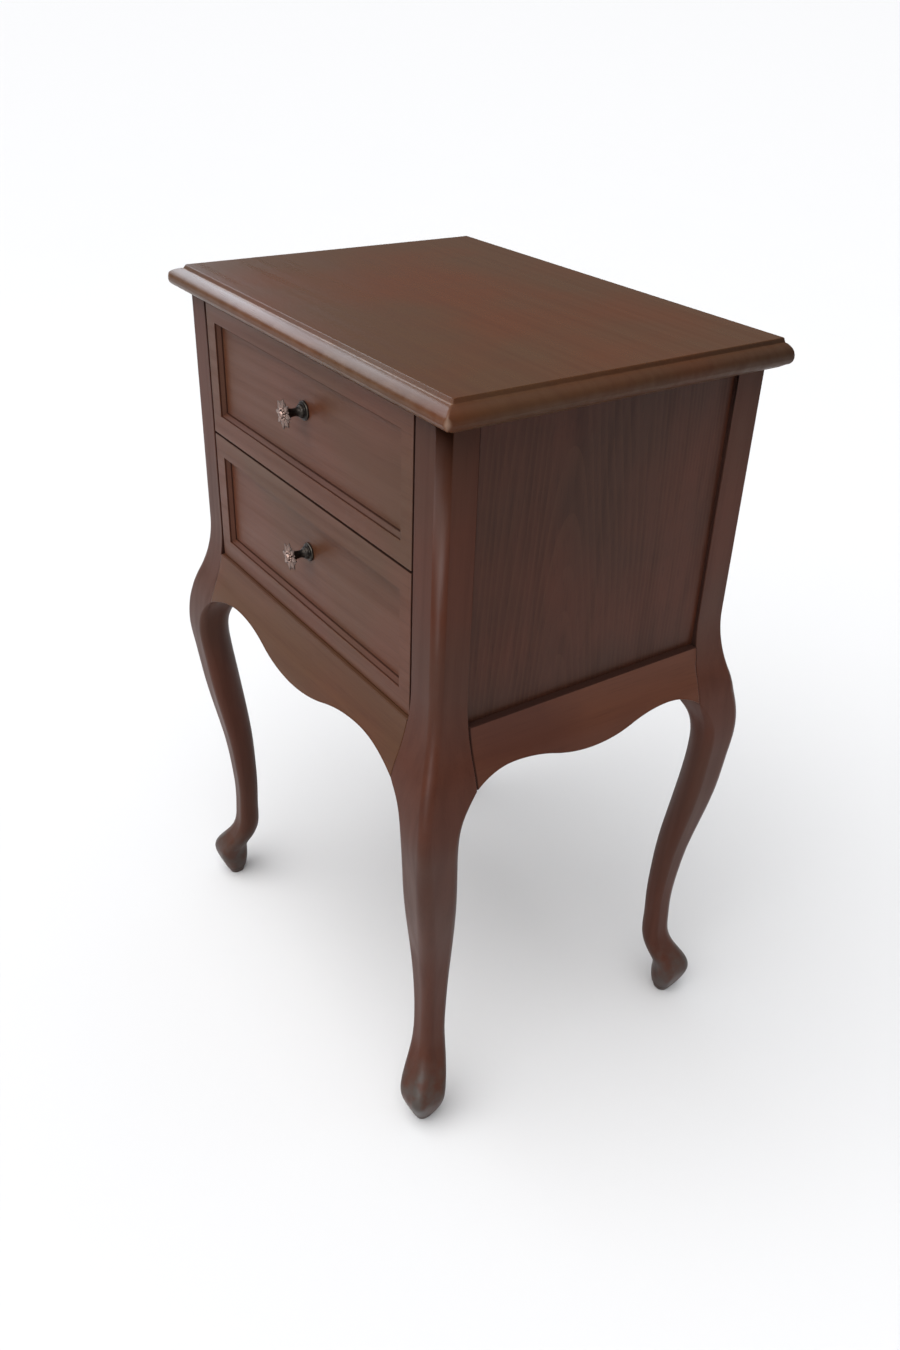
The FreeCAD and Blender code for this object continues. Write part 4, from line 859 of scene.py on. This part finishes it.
class NIGHTSTAND_OT_case_boards(bpy.types.Operator):
    """Finishes the solid model's own boards: side panels, back, rails, drawer boxes and screws"""
    bl_idname = "nightstand.case_boards"
    bl_label = "Case boards"

    def execute(self, context):
        finish = context.scene.nightstand_finish
        # Veneered side panels: flat-cut leaves of a straight log, so pale arches stand one in another up the
        # middle
        panels = {side: wood("stained_veneer_" + label, finish.side_stain, finish.side_dark,
                             finish.side_cloud, finish.rubbed, "z", (-side * 0.188, 0.03, 0),
                             line=finish.side_line, ring_mm=4, tilt=(0.0, -side * 0.089), roughness=0.4,
                             figure=0.15, streaks=0.36, lean=0.025)
                  for side, label in ((-1, "left"), (1, "right"))}
        # Planed softwood rails and runners, left bare, and waxed poplar boxes
        inner, runner, box_across, box_along = (
            wood(name, tone, lines, tone, tone, grain, FAR_HEART, ring_mm=ring_mm, roughness=roughness)
            for name, tone, lines, grain, ring_mm, roughness in (
                ("planed_softwood_rails", finish.inner_wood, finish.inner_grain, "x", 5, 0.6),
                ("planed_softwood_runners", finish.inner_wood, finish.inner_grain, "y", 5, 0.6),
                ("waxed_poplar_across", finish.box_wood, finish.box_grain, "x", 6, 0.5),
                ("waxed_poplar_along", finish.box_wood, finish.box_grain, "y", 6, 0.5)))
        back = wood("stained_plywood_back", finish.side_stain, finish.side_dark, finish.stain_olive,
                    finish.rubbed, "z", (0.02, -0.25, 0.0), ring_mm=9, tilt=(0.04, 0.0), roughness=0.5)
        # The rails that show between the drawers, stained like the rest
        front_rail = wood("stained_hardwood_rails", finish.side_stain, finish.side_dark, finish.side_stain,
                          finish.rubbed, "x", FAR_HEART, ring_mm=8)
        steel = metal("zinc_plated_steel", finish.steel, finish.steel_dull, 0.25, 1.0, 1.5)
        # the first word found in a node's name decides
        choices = (("side_panel_left", panels[-1]), ("side_panel_right", panels[1]), ("back_panel", back),
                   ("rear_apron", back), ("top_front_rail", front_rail), ("drawer_divider_rail", front_rail),
                   ("bottom_front_rail", front_rail), ("screw", steel), ("drawer_side", box_along),
                   ("drawer_back", box_across), ("drawer_bottom", box_across), ("runner", runner),
                   ("guide", runner), ("cleat", runner), ("", inner))
        for name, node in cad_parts.items():
            node.data.materials.clear()
            node.data.materials.append(next(material for word, material in choices if word in name))
        return {"FINISHED"}


def glossy_light(name, place, target, spread, power, tint):
    """A rectangular lamp that is turned to face its target and lights the gloss alone."""
    data = bpy.data.lights.new(name, "AREA")
    data.shape = "RECTANGLE"
    data.size, data.size_y = spread
    data.energy, data.color = power, tint
    lamp = add_object(name, data)
    lamp.location = place
    lamp.rotation_euler = (Vector(target) - Vector(place)).to_track_quat("-Z", "Y").to_euler()
    lamp.visible_diffuse = False


class NIGHTSTAND_OT_studio(bpy.types.Operator):
    """Sets a pale floor, soft daylight from the front left and the photograph's camera"""
    bl_idname = "nightstand.studio"
    bl_label = "Floor, light and camera"

    def execute(self, context):
        scene, finish = context.scene, context.scene.nightstand_finish
        angle = np.linspace(0, 2 * math.pi, 96, endpoint=False)
        # so wide that its rim lies at the horizon
        radius = 200.0
        ring = np.stack([np.cos(angle) * radius, np.sin(angle) * radius, angle * 0], 1)
        mesh = bpy.data.meshes.new("floor")
        mesh.from_pydata(ring.tolist(), [], [list(range(len(ring)))])
        # Matt painted floor: rolled on, so very slightly uneven in sheen
        material, tree, shader = new_material("matt_paint_floor")
        place = add_node(tree, "TexCoord", output="Object")
        mottle = add_node(tree, "TexNoise", {"Vector": place, "Scale": 3.0, "Detail": 3.0}, "Fac")
        rough = add_node(tree, "MapRange", {"Value": mottle, "To Min": 0.75, "To Max": 0.9})
        tree.links.new(rough, shader["Roughness"])
        shader["Base Color"].default_value = finish.floor
        mesh.materials.append(material)
        floor = add_object("floor", mesh)

        world = bpy.data.worlds.new("studio_walls")
        scene.world = world
        world.use_nodes = True
        tree = world.node_tree
        tree.nodes.clear()
        # The room that the lacquer reflects: dim walls under a pale ceiling. Seen straight on, the walls
        # are as pale as the floor.
        toward = add_node(tree, "TexCoord", output="Generated")
        height = add_node(tree, "SeparateXYZ", {0: toward}, "Z")
        glow = add_node(tree, "MapRange", {"Value": height, "From Min": 0.1, "From Max": 0.95,
                                           "To Min": 0.10, "To Max": 0.75})
        room = add_node(tree, "Background", {"Color": (0.97, 0.98, 1.0, 1.0), "Strength": glow})
        walls = add_node(tree, "Background", {"Color": finish.floor, "Strength": 1.3})
        seen = add_node(tree, "LightPath", output="Is Camera Ray")
        both = add_node(tree, "MixShader", {0: seen, 1: room, 2: walls})
        add_node(tree, "OutputWorld", {"Surface": both})
        # One broad diffuser stands so far off that the whole floor is evenly lit
        data = bpy.data.lights.new("broad_diffuser", "SUN")
        data.energy, data.angle, data.color = 3.1, math.radians(70), (1.0, 0.985, 0.965)
        diffuser = add_object("broad_diffuser", data)
        diffuser.rotation_euler = Vector((-0.05, 0.45, -0.89)).to_track_quat("-Z", "Y").to_euler()
        # Three that only the gloss shows: a wide pale screen on the left, a doorway in front, and a small
        # screen behind the camera for the feet and knobs
        glossy_light("reflecting_screen", (-2.35, -0.5, 2.1), (0, -0.1, 0.66), (2.8, 1.3), 60,
                     (0.82, 0.90, 1.0))
        glossy_light("pale_doorway", (1.45, -2.3, 1.3), (0.1, 0, 0.3), (0.9, 2.2), 30, (0.92, 0.96, 1.0))
        glossy_light("small_screen", (1.25, -1.05, 1.75), (0.2, -0.15, 0.05), (0.8, 0.6), 10,
                     (0.92, 0.96, 1.0))
        scene.view_settings.view_transform = "Standard"

        # The camera stands where the photograph's did: right of the front, above, looking down, held
        # slightly turned
        azimuth, pitch, roll = math.radians(54.788), math.radians(31.543), math.radians(2.146)
        forward = Vector((-math.sin(azimuth) * math.cos(pitch), math.cos(azimuth) * math.cos(pitch),
                          -math.sin(pitch)))
        level = Vector((math.cos(azimuth), math.sin(azimuth), 0))
        upright = level.cross(forward)
        right = level * math.cos(roll) + upright * math.sin(roll)
        above = right.cross(forward)
        place = (0.77755, -0.54236, 0.90606)
        data = bpy.data.cameras.new("camera")
        data.lens, data.sensor_width = 30.66, 36.0
        camera = add_object("camera", data)
        turned = Matrix((right, above, -forward)).transposed().to_4x4()
        camera.matrix_world = Matrix.Translation(place) @ turned
        scene.camera = camera
        return {"FINISHED"}


class NIGHTSTAND_PT_panel(bpy.types.Panel):
    """Lists the nightstand's pieces, sizes and colours"""
    bl_idname = "NIGHTSTAND_PT_panel"
    bl_label = "Nightstand"
    bl_space_type = "VIEW_3D"
    bl_region_type = "UI"
    bl_category = "Nightstand"

    def draw(self, context):
        for operator in OPERATORS:
            self.layout.operator(operator.bl_idname)
        for settings in (context.scene.nightstand_sizes, context.scene.nightstand_finish):
            column = self.layout.column()
            for name in settings.__annotations__:
                column.prop(settings, name, text=name.replace("_", " ").capitalize())


OPERATORS = (NIGHTSTAND_OT_case_boards, NIGHTSTAND_OT_legs, NIGHTSTAND_OT_top_board, NIGHTSTAND_OT_aprons,
             NIGHTSTAND_OT_drawer_fronts, NIGHTSTAND_OT_knobs, NIGHTSTAND_OT_studio)
CLASSES = (NightstandSizes, NightstandFinish, *OPERATORS, NIGHTSTAND_PT_panel)


def register():
    for item in CLASSES:
        bpy.utils.register_class(item)
    bpy.types.Scene.nightstand_sizes = PointerProperty(type=NightstandSizes)
    bpy.types.Scene.nightstand_finish = PointerProperty(type=NightstandFinish)


def unregister():
    del bpy.types.Scene.nightstand_finish
    del bpy.types.Scene.nightstand_sizes
    for item in reversed(CLASSES):
        bpy.utils.unregister_class(item)


def main():
    register()
    bpy.ops.nightstand.case_boards()
    bpy.ops.nightstand.legs()
    bpy.ops.nightstand.top_board()
    bpy.ops.nightstand.aprons()
    bpy.ops.nightstand.drawer_fronts()
    bpy.ops.nightstand.knobs()
    bpy.ops.nightstand.studio()


if __name__ == "__main__":
    main()
